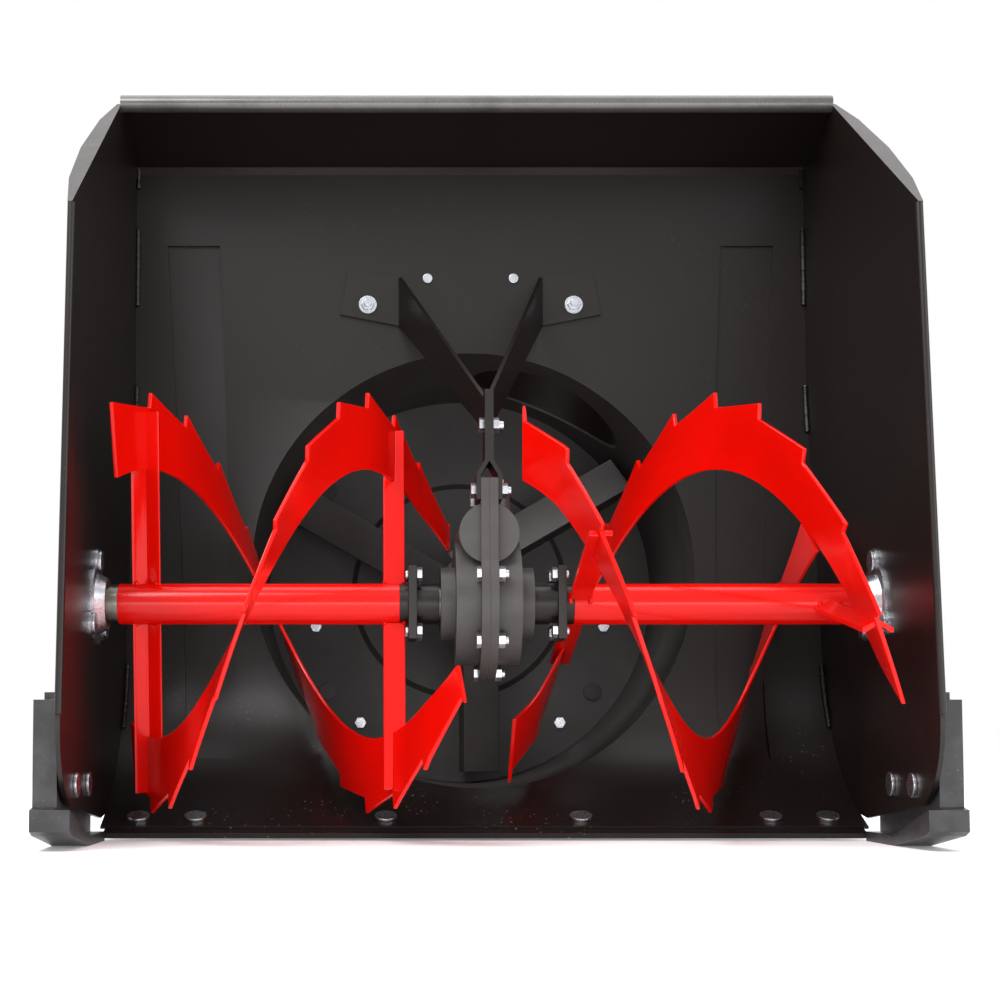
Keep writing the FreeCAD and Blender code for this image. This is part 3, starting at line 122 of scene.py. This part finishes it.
@dataclass(frozen=True)
class Finish:
    """A surface finish: its shader's own values and its patterns at their real sizes."""

    name: str
    colour: str
    worn_colour: str
    metallic: float = 0.0
    roughness: float = 0.4
    rough_spread: float = 0.1
    coat: float = 0.0
    coat_roughness: float = 0.1
    grain_mm: float = 0.8
    grain_height_mm: float = 0.02
    cloud_mm: float = 90.0
    wear: float = 0.15
    dust: float = 0.0
    dust_colour: str = "8a8178"
    streaks: tuple[float, float, float] = (1.0, 1.0, 1.0)
    specular: float = 0.5

    def build(self) -> bpy.types.Material:
        """Builds the finish's node material.

        Returns:
            The material, on Object coordinates throughout.
        """
        material = bpy.data.materials.new(self.name)
        material.use_nodes = True
        tree = material.node_tree
        tree.nodes.clear()
        place = add_node(tree, "ShaderNodeTexCoord").outputs["Object"]
        stretched = add_node(tree, "ShaderNodeMapping", {"Vector": place}, Scale=self.streaks).outputs[0]
        cloud = add_node(tree, "ShaderNodeTexNoise", {"Vector": place}, Scale=1 / (self.cloud_mm * MM),
                         Detail=5.0, Roughness=0.6).outputs[0]
        grain = add_node(tree, "ShaderNodeTexNoise", {"Vector": stretched}, Scale=1 / (self.grain_mm * MM),
                         Detail=3.0, Roughness=0.55).outputs[0]
        worn = add_node(tree, "ShaderNodeMapRange", {"Value": cloud}, From_Min=0.45, From_Max=0.75,
                        To_Min=0.0, To_Max=self.wear).outputs[0]
        colour = self.mixed(tree, worn, srgb(self.colour), srgb(self.worn_colour))
        if self.dust > 0:
            colour = self.mixed(tree, self.dust_amount(tree, place), colour, srgb(self.dust_colour))
        rough = add_node(tree, "ShaderNodeMapRange", {"Value": grain}, From_Min=0.3, From_Max=0.7,
                         To_Min=self.roughness - self.rough_spread / 2,
                         To_Max=self.roughness + self.rough_spread / 2).outputs[0]
        bump = add_node(tree, "ShaderNodeBump", {"Height": grain}, Strength=0.6,
                        Distance=self.grain_height_mm * MM).outputs[0]
        shader = add_node(tree, "ShaderNodeBsdfPrincipled",
                          {"Base Color": colour, "Roughness": rough, "Normal": bump},
                          Metallic=self.metallic, Coat_Weight=self.coat, Coat_Roughness=self.coat_roughness,
                          Specular_IOR_Level=self.specular)
        add_node(tree, "ShaderNodeOutputMaterial", {"Surface": shader.outputs[0]})
        return material

    def mixed(self, tree: bpy.types.NodeTree, factor: bpy.types.NodeSocket, first: object,
              second: object) -> bpy.types.NodeSocket:
        """Mixes two colours, each a constant or a socket.

        Args:
            tree: The material's node tree.
            factor: The socket that says how much of the second shows.
            first: A colour or a colour socket.
            second: A colour or a colour socket.

        Returns:
            The mixed colour's socket.
        """
        mix = add_node(tree, "ShaderNodeMix", {0: factor}, data_type="RGBA")
        for socket, value in ((mix.inputs[6], first), (mix.inputs[7], second)):
            if isinstance(value, bpy.types.NodeSocket):
                tree.links.new(value, socket)
            else:
                socket.default_value = value
        return mix.outputs[2]

    def dust_amount(self, tree: bpy.types.NodeTree, place: bpy.types.NodeSocket) -> bpy.types.NodeSocket:
        """Specks of dust and grit that thicken towards the floor of the housing.

        Args:
            tree: The material's node tree.
            place: The Object coordinates.

        Returns:
            A socket from 0 to the finish's dust.
        """
        height = add_node(tree, "ShaderNodeSeparateXYZ", {"Vector": place}).outputs[2]
        low = add_node(tree, "ShaderNodeMapRange", {"Value": height}, From_Min=DUST_TOP_MM * MM,
                       From_Max=DUST_FLOOR_MM * MM, To_Min=0.12, To_Max=1.0).outputs[0]
        specks = add_node(tree, "ShaderNodeTexVoronoi", {"Vector": place},
                          Scale=1 / (SPECK_MM * MM)).outputs["Distance"]
        spots = add_node(tree, "ShaderNodeMapRange", {"Value": specks}, From_Min=0.16, From_Max=0.08,
                         To_Min=0.0, To_Max=1.0).outputs[0]
        patches = add_node(tree, "ShaderNodeTexNoise", {"Vector": place}, Scale=1 / (PATCH_MM * MM),
                           Detail=4.0).outputs[0]
        chosen = add_node(tree, "ShaderNodeMapRange", {"Value": patches}, From_Min=0.5, From_Max=0.62,
                          To_Min=0.0, To_Max=self.dust).outputs[0]
        near = add_node(tree, "ShaderNodeMath", {0: low, 1: spots}, operation="MULTIPLY").outputs[0]
        return add_node(tree, "ShaderNodeMath", {0: near, 1: chosen}, operation="MULTIPLY").outputs[0]


class Finishes(Enum):
    """The finishes of the head, each named for what it is and how it was made."""

    # Powder coat, baked: a satin skin with a fine orange peel, so the highlights are wide and soft.
    BLACK_POWDER = Finish("satin_black_powder_coat", "150f0d", "241c1a", roughness=0.36, rough_spread=0.1,
                          grain_mm=1.1, grain_height_mm=0.035, coat=0.08, coat_roughness=0.25, dust=0.75,
                          specular=0.32)
    # The coat along the lip and the rims of the plates: painted paler as a painted highlight on the hem's
    # bend, and smoother.
    PAINTED_HIGHLIGHT_POWDER = Finish("black_powder_coat_painted_highlight", "302c2b", "4b4746", metallic=0.2, roughness=0.28,
                           rough_spread=0.1, grain_mm=1.1, grain_height_mm=0.02, cloud_mm=45.0, wear=0.6)
    # The same coat inside the drum, coloured a lighter, duller grey.
    DRUM_POWDER = Finish("lighter_drum_powder_coat", "3a3837", "575352", roughness=0.45, rough_spread=0.12,
                         grain_mm=1.3, grain_height_mm=0.04, wear=0.5, dust=0.3, specular=0.35)
    # Thick gloss coat over welded strip: a deep even red with sharp lights on the edges.
    RED_POWDER = Finish("gloss_red_powder_coat", "d60a02", "b40502", roughness=0.17, rough_spread=0.05,
                        grain_mm=2.6, grain_height_mm=0.022, wear=0.4, specular=0.28)
    # Bright zinc plate: a pale blue-white metal with cloudy dullness.
    ZINC = Finish("bright_zinc_plate", "c9ccd2", "8f9296", metallic=1.0, roughness=0.3, rough_spread=0.2,
                  grain_mm=0.9, grain_height_mm=0.008, cloud_mm=9.0, wear=0.6)
    # Sand-cast aluminium, painted: pebbled and dull.
    CAST_CASE = Finish("painted_cast_aluminium", "363534", "504f4e", metallic=0.0, roughness=0.46,
                       grain_mm=1.6, grain_height_mm=0.12, cloud_mm=25.0, wear=0.35)
    # Turned steel, oiled: a darker metal with rings from the tool.
    TURNED_STEEL = Finish("turned_steel", "8b8882", "57534d", metallic=1.0, roughness=0.33, grain_mm=0.6,
                          grain_height_mm=0.01, cloud_mm=12.0, wear=0.8, streaks=(4.0, 0.6, 0.6))
    # Sintered bronze: brown gold with open pores.
    BRONZE = Finish("sintered_bronze", "b08a4e", "6d5029", metallic=1.0, roughness=0.42, grain_mm=0.5,
                    grain_height_mm=0.02, cloud_mm=14.0, wear=0.5)
    # Pressed fibre, a matt brown card.
    FIBRE = Finish("pressed_fibre", "3a352c", "2a2620", roughness=0.85, grain_mm=0.7, grain_height_mm=0.03)
    # Nitrile rubber, moulded.
    RUBBER = Finish("nitrile_rubber", "141414", "232323", roughness=0.6, grain_mm=0.8, grain_height_mm=0.02)
    # Polyethylene, moulded: a waxy dark grey, scuffed pale where it drags.
    POLYETHYLENE = Finish("moulded_polyethylene", "1d1d1f", "4a4a4d", roughness=0.42, grain_mm=0.9,
                          grain_height_mm=0.05, cloud_mm=22.0, wear=0.5, dust=0.4)
    # Grey iron, cast and left to darken.
    CAST_IRON = Finish("grey_cast_iron", "4a4846", "6a5b4c", metallic=0.7, roughness=0.5, grain_mm=1.2,
                       grain_height_mm=0.08, cloud_mm=20.0, wear=0.6)
    # Pale grey on the rolled edge of the sheet: a painted highlight along the lip's bend.
    PAINTED_HIGHLIGHT_EDGE = Finish("sheet_edge_painted_highlight", "646362", "4b4948", metallic=0.6, roughness=0.3, grain_mm=0.8,
                       grain_height_mm=0.015, cloud_mm=30.0, wear=0.7)


BUILT: dict[Finishes, bpy.types.Material] = {}


def material_of(finish: Finishes) -> bpy.types.Material:
    """The finish's material, built once.

    Args:
        finish: The finish.

    Returns:
        Its material.
    """
    if finish not in BUILT:
        BUILT[finish] = finish.value.build()
    return BUILT[finish]


# ---------------------------------------------------------------- making pieces

@dataclass(frozen=True)
class Trim:
    """A second finish on part of a piece, and the test for the centres of its faces."""

    finish: Finishes
    takes: Callable[[Vector], bool]


def finished(name: str, mesh: bmesh.types.BMesh, finish: Finishes, body: str,
             replaces: Sequence[str] = (), trim: Trim | None = None,
             smooth_deg: float = 32.0) -> bpy.types.Object:
    """Turns a bmesh into a piece of the object.

    Args:
        name: The piece's name.
        mesh: Its shape, in metres in the row frame; freed here.
        finish: Its finish.
        body: The CAD body it rides on.
        replaces: CAD nodes it stands for.
        trim: A second finish and the faces that take it.
        smooth_deg: Edges sharper than this stay hard.

    Returns:
        The new object.
    """
    data = bpy.data.meshes.new(name)
    mesh.to_mesh(data)
    mesh.free()
    data.shade_smooth()
    data.set_sharp_from_angle(angle=math.radians(smooth_deg))
    piece = bpy.data.objects.new(name, data)
    bpy.context.scene.collection.objects.link(piece)
    data.materials.append(material_of(finish))
    if trim is not None:
        data.materials.append(material_of(trim.finish))
        for face in data.polygons:
            face.material_index = int(trim.takes(face.center))
    weighted = piece.modifiers.new("weighted_normals", "WEIGHTED_NORMAL")
    weighted.weight = 100
    weighted.keep_sharp = True
    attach(piece, body)
    if replaces:
        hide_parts(*replaces)
    LOG.info("%s: %d faces on %s", name, len(data.polygons), body)
    return piece


def cad_copy(node: str, edge_mm: float, segments: int = 2, sharp_deg: float = 38.0) -> bmesh.types.BMesh:
    """A CAD node's shape with its coplanar triangles joined and its sharp edges rounded.

    Args:
        node: The CAD node.
        edge_mm: Radius of the rounding.
        segments: Steps across the rounding.
        sharp_deg: Edges that turn more than this are rounded.

    Returns:
        The shape as a bmesh.
    """
    mesh = bmesh.new()
    mesh.from_mesh(frame["nodes"][node].data)
    bmesh.ops.remove_doubles(mesh, verts=mesh.verts, dist=MERGE_MM * MM)
    bmesh.ops.dissolve_degenerate(mesh, edges=mesh.edges, dist=MERGE_MM * MM)
    bmesh.ops.dissolve_limit(mesh, angle_limit=math.radians(FLAT_DEG), verts=mesh.verts, edges=mesh.edges)
    sharp = [edge for edge in mesh.edges
             if len(edge.link_faces) == 2 and edge.calc_face_angle() > math.radians(sharp_deg)]
    bmesh.ops.bevel(mesh, geom=sharp, offset=edge_mm * MM, affect="EDGES", segments=segments, profile=0.5,
                    clamp_overlap=True, material=-1)
    return mesh


def body_of_node(node: str) -> str:
    """The CAD body that holds a node."""
    bodies = frame["record"]["behaviour"]["bodies"]
    return next(body for body, nodes in bodies.items() if node in nodes)


def dress(node: str, finish: Finishes) -> None:
    """Gives a CAD node that stays its finish.

    Args:
        node: The CAD node.
        finish: Its finish.
    """
    item = frame["nodes"][node]
    item.data.materials.clear()
    item.data.materials.append(material_of(finish))


def eased(node: str, finish: Finishes, edge_mm: float, trim: Trim | None = None) -> bpy.types.Object:
    """Stands a copy with eased edges in for a CAD node.

    Args:
        node: The CAD node.
        finish: Its finish.
        edge_mm: Radius of its edges.
        trim: A second finish on some of its faces.

    Returns:
        The new piece.
    """
    return finished(node + "_finished", cad_copy(node, edge_mm), finish, body_of_node(node),
                    [node], trim)


def fold_end(mesh: bmesh.types.BMesh, axle: Vector, side: int, crease_mm: float, fold_deg: float,
             near_mm: float = 4.0) -> None:
    """Folds the inner end of an auger ribbon towards the middle of the head, in place.

    Args:
        mesh: The ribbon.
        axle: The middle of the auger shaft.
        side: -1 for the left auger and 1 for the right one.
        crease_mm: Distance of the crease from the middle of the head.
        fold_deg: Angle of the fold.
        near_mm: Vertices this close to the crease give its height and depth.
    """
    reach = [vert for vert in mesh.verts if abs(vert.co.x - axle.x) < crease_mm * MM]
    edge = [vert for vert in mesh.verts if abs(abs(vert.co.x - axle.x) - crease_mm * MM) < near_mm * MM]
    if not reach or not edge:
        return
    middle = sum((vert.co for vert in edge), Vector()) / len(edge)
    radial = Vector((0, middle.y - axle.y, middle.z - axle.z)).normalized()
    hinge = Vector((side * crease_mm * MM + axle.x, middle.y, middle.z))
    end = sum((vert.co for vert in reach), Vector()) / len(reach)
    turn = 1 if radial.cross(end - hinge).x * side < 0 else -1
    bmesh.ops.rotate(mesh, cent=hinge, verts=reach,
                     matrix=Matrix.Rotation(turn * math.radians(fold_deg), 3, radial))


def joined(name: str, lumps: Iterable[bmesh.types.BMesh]) -> bmesh.types.BMesh:
    """Puts several bmeshes into one and frees them.

    Args:
        name: The piece's name.
        lumps: The bmeshes.

    Returns:
        One bmesh with all of them.
    """
    whole = bmesh.new()
    for lump in lumps:
        scratch = bpy.data.meshes.new(name + "_scratch")
        lump.to_mesh(scratch)
        lump.free()
        whole.from_mesh(scratch)
        bpy.data.meshes.remove(scratch)
    return whole


def weld(path: Sequence[Vector], radius_mm: float, seed: int) -> bmesh.types.BMesh:
    """A weld bead: overlapping drops along a path.

    Args:
        path: The bead's corner points.
        radius_mm: Half its width.
        seed: Fixes its unevenness.

    Returns:
        The bead as a bmesh.
    """
    chance = random.Random(seed)
    bead = bmesh.new()
    pitch = radius_mm * 0.8 * MM
    for start, end in zip(path, path[1:]):
        count = max(2, int((end - start).length / pitch))
        for step in range(count):
            centre = start.lerp(end, step / count)
            size = radius_mm * MM * chance.uniform(0.8, 1.15)
            bmesh.ops.create_icosphere(bead, subdivisions=1, radius=size, matrix=Matrix.Translation(centre))
    return bead


# ---------------------------------------------------------------- shared places, read from the frame

@dataclass
class Places:
    """Places that several sub-assemblies share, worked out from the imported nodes."""

    lip_back_mm: float = 99.0
    lip_radius_mm: float = 6.5
    axle: Vector = field(init=False)
    half_width: float = field(init=False)
    ground: float = field(init=False)
    lip: Vector = field(init=False)

    def __post_init__(self) -> None:
        """Reads the axle, the housing's half width, the ground and the lip's centre."""
        low, high = (Vector(corner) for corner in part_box("output_shaft"))
        self.axle = (low + high) / 2
        sheet_high = Vector(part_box("back_sheet")[1])
        self.half_width = sheet_high.x
        self.lip = Vector((0, self.axle.y + self.lip_back_mm * MM, sheet_high.z - self.lip_radius_mm * MM))
        self.ground = CAD_BOX[0][2]

    def from_axle(self, x_mm: float, back_mm: float, up_mm: float) -> Vector:
        """A point by its distances from the middle of the auger shaft, in millimetres."""
        return self.axle + Vector((x_mm, back_mm, up_mm)) * MM


# ---------------------------------------------------------------- sub-assemblies

@dataclass
class Housing:
    """The black steel housing with its drum, bolts and welds."""

    places: Places
    plate_edge_mm: float = 0.9
    sheet_edge_mm: float = 0.7
    thin_edge_mm: float = 0.6
    drum_plate_edge_mm: float = 0.8
    brace_edge_mm: float = 0.5
    fastener_edge_mm: float = 0.5
    clip_edge_mm: float = 0.4
    bearing_edge_mm: float = 1.0
    # The painted highlight: how far it reaches from the lip's centre, and where it is painted on the rims of
    # the plates.
    highlight_reach_mm: float = 7.5
    rim_outset_mm: float = 3.4
    rim_low_mm: float = 250.0
    rim_past_lip_mm: float = 2.0
    # The front face of the back wall, from the auger axis: upright, then sloping, then round.
    wall_bend_mm: float = 190.0
    wall_curve_mm: float = -29.0
    wall_top_back_mm: float = 195.0
    wall_low_back_mm: float = 157.4
    wall_radius_mm: float = 160.0
    weld_heights_mm: tuple[tuple[int, int], ...] = ((268, 333), (160, 200), (368, 392), (-85, -35))
    weld_inset_mm: float = 1.5
    weld_radius_mm: float = 2.4

    def build(self) -> None:
        """Builds the housing's pieces."""
        lip = self.places.lip
        # The rolled lip of the back sheet takes a pale grey finish: a painted highlight on its bend.
        eased("back_sheet", Finishes.BLACK_POWDER, self.sheet_edge_mm,
              Trim(Finishes.PAINTED_HIGHLIGHT_EDGE, lambda spot: (spot.yz - lip.yz).length < self.highlight_reach_mm * MM))
        # The upper front rims of the side plates take a paler coat: a painted highlight on the hem.
        rim_x = self.places.half_width + self.rim_outset_mm * MM
        rim_low = self.places.axle.z + self.rim_low_mm * MM
        rim_back = lip.y + self.rim_past_lip_mm * MM
        for side in ("left", "right"):
            eased(f"{side}_side_plate", Finishes.BLACK_POWDER, self.plate_edge_mm,
                  Trim(Finishes.PAINTED_HIGHLIGHT_POWDER,
                       lambda spot: abs(spot.x) > rim_x and spot.z > rim_low and spot.y < rim_back))
            eased(f"{side}_brace", Finishes.BLACK_POWDER, self.brace_edge_mm)
        eased("impeller_drum", Finishes.DRUM_POWDER, self.thin_edge_mm)
        eased("drum_back_plate", Finishes.DRUM_POWDER, self.drum_plate_edge_mm)
        eased("scraper_bar", Finishes.BLACK_POWDER, self.thin_edge_mm)
        eased("chute_collar", Finishes.BLACK_POWDER, self.thin_edge_mm)
        eased("chute_clips", Finishes.ZINC, self.clip_edge_mm)
        eased("bearing_flanges", Finishes.ZINC, self.thin_edge_mm)
        eased("rear_bearing_housing", Finishes.CAST_IRON, self.bearing_edge_mm)
        for node in ("axle_bushings", "output_bushings"):
            dress(node, Finishes.BRONZE)
        for node in ("drum_bolts", "chute_clip_bolts", "scraper_bolts", "scraper_nuts", "side_plate_bolts",
                     "side_plate_nuts", "brace_bolts", "brace_nuts", "wall_screws"):
            eased(node, Finishes.ZINC, self.fastener_edge_mm)
        eased("frame_studs", Finishes.BLACK_POWDER, self.fastener_edge_mm)
        dress("rear_bearing", Finishes.TURNED_STEEL)
        self.welds()

    def welds(self) -> None:
        """Weld beads at the corners of the back sheet and the side plates."""
        inner = self.places.half_width / MM - self.weld_inset_mm
        beads = []
        for side in (-1, 1):
            for number, (low, high) in enumerate(self.weld_heights_mm):
                path = [self.places.from_axle(side * inner, self.wall_back(up) - self.weld_inset_mm, up)
                        for up in (low, (2 * low + high) / 3, (low + 2 * high) / 3, high)]
                seed = number + len(self.weld_heights_mm) * (side > 0)
                beads.append(weld(path, self.weld_radius_mm, seed))
        finished("corner_welds", joined("corner_welds", beads), Finishes.BLACK_POWDER, "housing")

    def wall_back(self, up_mm: float) -> float:
        """Distance of the back wall's front face behind the auger axis, in millimetres.

        Args:
            up_mm: The height above the axis.

        Returns:
            The distance at that height.
        """
        if up_mm > self.wall_bend_mm:
            return self.wall_top_back_mm
        if up_mm > self.wall_curve_mm:
            slope = (self.wall_top_back_mm - self.wall_low_back_mm) / (self.wall_bend_mm - self.wall_curve_mm)
            return self.wall_low_back_mm + (up_mm - self.wall_curve_mm) * slope
        return math.sqrt(self.wall_radius_mm ** 2 - up_mm ** 2)


@dataclass
class Gearbox:
    """The worm gearbox between the augers."""

    case_edge_mm: float = 1.2
    fastener_edge_mm: float = 0.5

    def build(self) -> None:
        """Builds the gearbox's pieces."""
        for side in ("left", "right"):
            eased(f"gearbox_case_{side}", Finishes.CAST_CASE, self.case_edge_mm)
        eased("oil_plug", Finishes.TURNED_STEEL, self.fastener_edge_mm)
        for node in ("case_bolts", "case_nuts"):
            eased(node, Finishes.ZINC, self.fastener_edge_mm)
        dress("case_gasket", Finishes.FIBRE)
        dress("output_seals", Finishes.RUBBER)
        dress("worm_bearings", Finishes.TURNED_STEEL)


@dataclass
class Augers:
    """The red augers and the shaft that turns them."""

    places: Places
    ribbon_edge_mm: float = 0.9
    arm_edge_mm: float = 0.8
    tube_edge_mm: float = 0.6
    bolt_edge_mm: float = 0.4
    # The inner end of each ribbon is folded a little along a crease.
    crease_mm: float = 44.0
    fold_deg: float = 6.0
    # Each ribbon turns by its angle from its outer end on; the arms stand at its angle where they meet it.
    ribbon_outer_mm: float = 259.6
    ribbon_length_mm: float = 232.6
    ribbon_turn_deg: float = 270.0
    left_phase_deg: float = 61.0
    right_phase_deg: float = -30.0
    arm_places_mm: tuple[float, float] = (243.0, 66.0)
    arm_foot_mm: float = 15.2
    weld_spread_mm: float = 7.0
    weld_half_length_mm: float = 4.0
    weld_radius_mm: float = 2.0
    weld_first_seed: int = 30

    def build(self) -> None:
        """Builds the augers' pieces."""
        for node in ("left_ribbon_a", "left_ribbon_b", "right_ribbon_c", "right_ribbon_d"):
            mesh = cad_copy(node, self.ribbon_edge_mm)
            side_sign = -1 if node.startswith("left") else 1
            fold_end(mesh, self.places.axle, side_sign, self.crease_mm, self.fold_deg)
            finished(node + "_finished", mesh, Finishes.RED_POWDER, "auger", [node])
        self.arm_welds()
        for node in ("left_outer_arms", "right_outer_arms", "inner_arms"):
            eased(node, Finishes.RED_POWDER, self.arm_edge_mm)
        for side in ("left", "right"):
            eased(f"{side}_auger_tube", Finishes.RED_POWDER, self.tube_edge_mm)
        eased("hub_flanges", Finishes.BLACK_POWDER, self.arm_edge_mm)
        eased("hub_bolts", Finishes.ZINC, self.bolt_edge_mm)
        eased("shaft_collars", Finishes.TURNED_STEEL, self.tube_edge_mm)
        dress("output_shaft", Finishes.TURNED_STEEL)
        dress("wheel_key", Finishes.TURNED_STEEL)
        dress("worm_wheel", Finishes.BRONZE)

    def arm_welds(self) -> None:
        """Weld beads where the arms meet the tubes."""
        beads = []
        for side, phase_deg in ((-1, self.left_phase_deg), (1, self.right_phase_deg)):
            for number, out_mm in enumerate(self.arm_places_mm):
                turned_part = (self.ribbon_outer_mm - out_mm) / self.ribbon_length_mm
                arm_deg = phase_deg + self.ribbon_turn_deg * turned_part
                for half_turn in (0, 180):
                    angle = math.radians(arm_deg + half_turn)
                    across = Vector((0, math.sin(angle), math.cos(angle))) * self.weld_half_length_mm * MM
                    along = Vector((0, -math.cos(angle), math.sin(angle))) * self.arm_foot_mm * MM
                    for edge_mm in (-self.weld_spread_mm, self.weld_spread_mm):
                        foot = self.places.from_axle(side * out_mm + edge_mm, 0, 0) + along
                        beads.append(weld([foot - across, foot + across], self.weld_radius_mm,
                                          self.weld_first_seed + number))
        finished("arm_welds", joined("arm_welds", beads), Finishes.RED_POWDER, "auger")


@dataclass
class Impeller:
    """The impeller, its shaft and the pulley behind the drum."""

    blade_edge_mm: float = 0.8
    hub_edge_mm: float = 1.0
    bolt_edge_mm: float = 0.5

    def build(self) -> None:
        """Builds the impeller's pieces."""
        eased("impeller_blades", Finishes.DRUM_POWDER, self.blade_edge_mm)
        eased("impeller_hub", Finishes.DRUM_POWDER, self.hub_edge_mm)
        eased("drive_pulley", Finishes.CAST_IRON, self.blade_edge_mm)
        eased("pulley_bolt", Finishes.ZINC, self.bolt_edge_mm)
        for node in ("impeller_shaft", "worm", "roll_pins", "pulley_key"):
            dress(node, Finishes.TURNED_STEEL)


@dataclass
class Movers:
    """The skid shoes and the chute ring."""

    shoe_edge_mm: float = 1.4
    ring_edge_mm: float = 0.7

    def build(self) -> None:
        """Builds the pieces that are set by hand."""
        for side in ("left", "right"):
            eased(f"{side}_skid_shoe", Finishes.POLYETHYLENE, self.shoe_edge_mm)
        eased("chute_ring", Finishes.BLACK_POWDER, self.ring_edge_mm)


# ---------------------------------------------------------------- stage

@dataclass(frozen=True)
class SoftBox:
    """A soft light: its name, its centre and its size in metres, and its power in watts."""

    name: str
    place: tuple[float, float, float]
    size: tuple[float, float]
    power: float


@dataclass
class Studio:
    """A pale floor, soft lights and the camera."""

    places: Places
    lens_mm: float = 63.97
    camera_mm: tuple[float, float, float] = (-78.3, -1270.7, -106.7)
    pitch_deg: float = 3.9
    shift: tuple[float, float] = (0.123, 0.132)
    floor_radius: float = 14.0
    floor_glow: float = 0.14
    aim_up_mm: float = 60.0
    soft_boxes: tuple[SoftBox, ...] = (
        SoftBox("key", (-0.9, -1.5, 1.5), (1.2, 0.9), 36.0),
        SoftBox("fill", (1.4, -1.4, 0.5), (0.9, 1.2), 10.0),
        SoftBox("low_front", (0.1, -1.9, -0.12), (1.4, 0.4), 6.0),
        SoftBox("top", (0.0, -0.2, 1.9), (2.0, 1.2), 16.0),
        SoftBox("back", (0.4, 2.0, 1.2), (1.6, 1.2), 24.0))

    def build(self) -> None:
        """Builds the stage round the object."""
        self.floor()
        self.camera()
        self.world()
        target = self.places.from_axle(0, 0, self.aim_up_mm)
        for box in self.soft_boxes:
            self.light(box, target)

    def floor(self) -> None:
        """A wide pale floor under the object."""
        mesh = bmesh.new()
        bmesh.ops.create_circle(mesh, cap_ends=True, segments=64, radius=self.floor_radius,
                                matrix=Matrix.Translation((0, 0, self.places.ground)))
        data = bpy.data.meshes.new("floor")
        mesh.to_mesh(data)
        mesh.free()
        item = bpy.data.objects.new("floor", data)
        bpy.context.scene.collection.objects.link(item)
        paper = bpy.data.materials.new("pale_paper")
        paper.use_nodes = True
        shader = paper.node_tree.nodes["Principled BSDF"]
        shader.inputs["Base Color"].default_value = srgb("f6f6f6")
        shader.inputs["Roughness"].default_value = 0.9
        shader.inputs["Emission Color"].default_value = srgb("ffffff")
        shader.inputs["Emission Strength"].default_value = self.floor_glow
        data.materials.append(paper)

    def camera(self) -> None:
        """The camera, low in front of the intake and tipped up a little."""
        data = bpy.data.cameras.new("camera")
        data.lens = self.lens_mm
        data.sensor_width = 36.0
        data.shift_x, data.shift_y = self.shift
        data.clip_start = 0.01
        item = bpy.data.objects.new("camera", data)
        bpy.context.scene.collection.objects.link(item)
        item.location = self.places.from_axle(*self.camera_mm)
        item.rotation_euler = (math.radians(90 + self.pitch_deg), 0, 0)
        bpy.context.scene.camera = item

    def world(self) -> None:
        """An even pale surround."""
        world = bpy.data.worlds.new("surround")
        world.use_nodes = True
        background = world.node_tree.nodes["Background"]
        background.inputs["Color"].default_value = (1.0, 1.0, 1.0, 1.0)
        background.inputs["Strength"].default_value = 1.0
        bpy.context.scene.world = world
        bpy.context.scene.view_settings.view_transform = "Standard"

    def light(self, box: SoftBox, target: Vector) -> None:
        """Adds a soft box.

        Args:
            box: The soft box.
            target: What it points at.
        """
        data = bpy.data.lights.new(box.name, "AREA")
        data.shape = "RECTANGLE"
        data.size, data.size_y = box.size
        data.energy = box.power
        item = bpy.data.objects.new(box.name, data)
        bpy.context.scene.collection.objects.link(item)
        item.location = box.place
        item.rotation_euler = (target - Vector(box.place)).to_track_quat("-Z", "Y").to_euler()


def main() -> None:
    """Builds the object and its stage."""
    logging.basicConfig(level=logging.INFO, format="%(name)s %(message)s")
    places = Places()
    for part in (Housing(places), Gearbox(), Augers(places), Impeller(), Movers()):
        part.build()
    Studio(places).build()


if __name__ == "__main__":
    main()
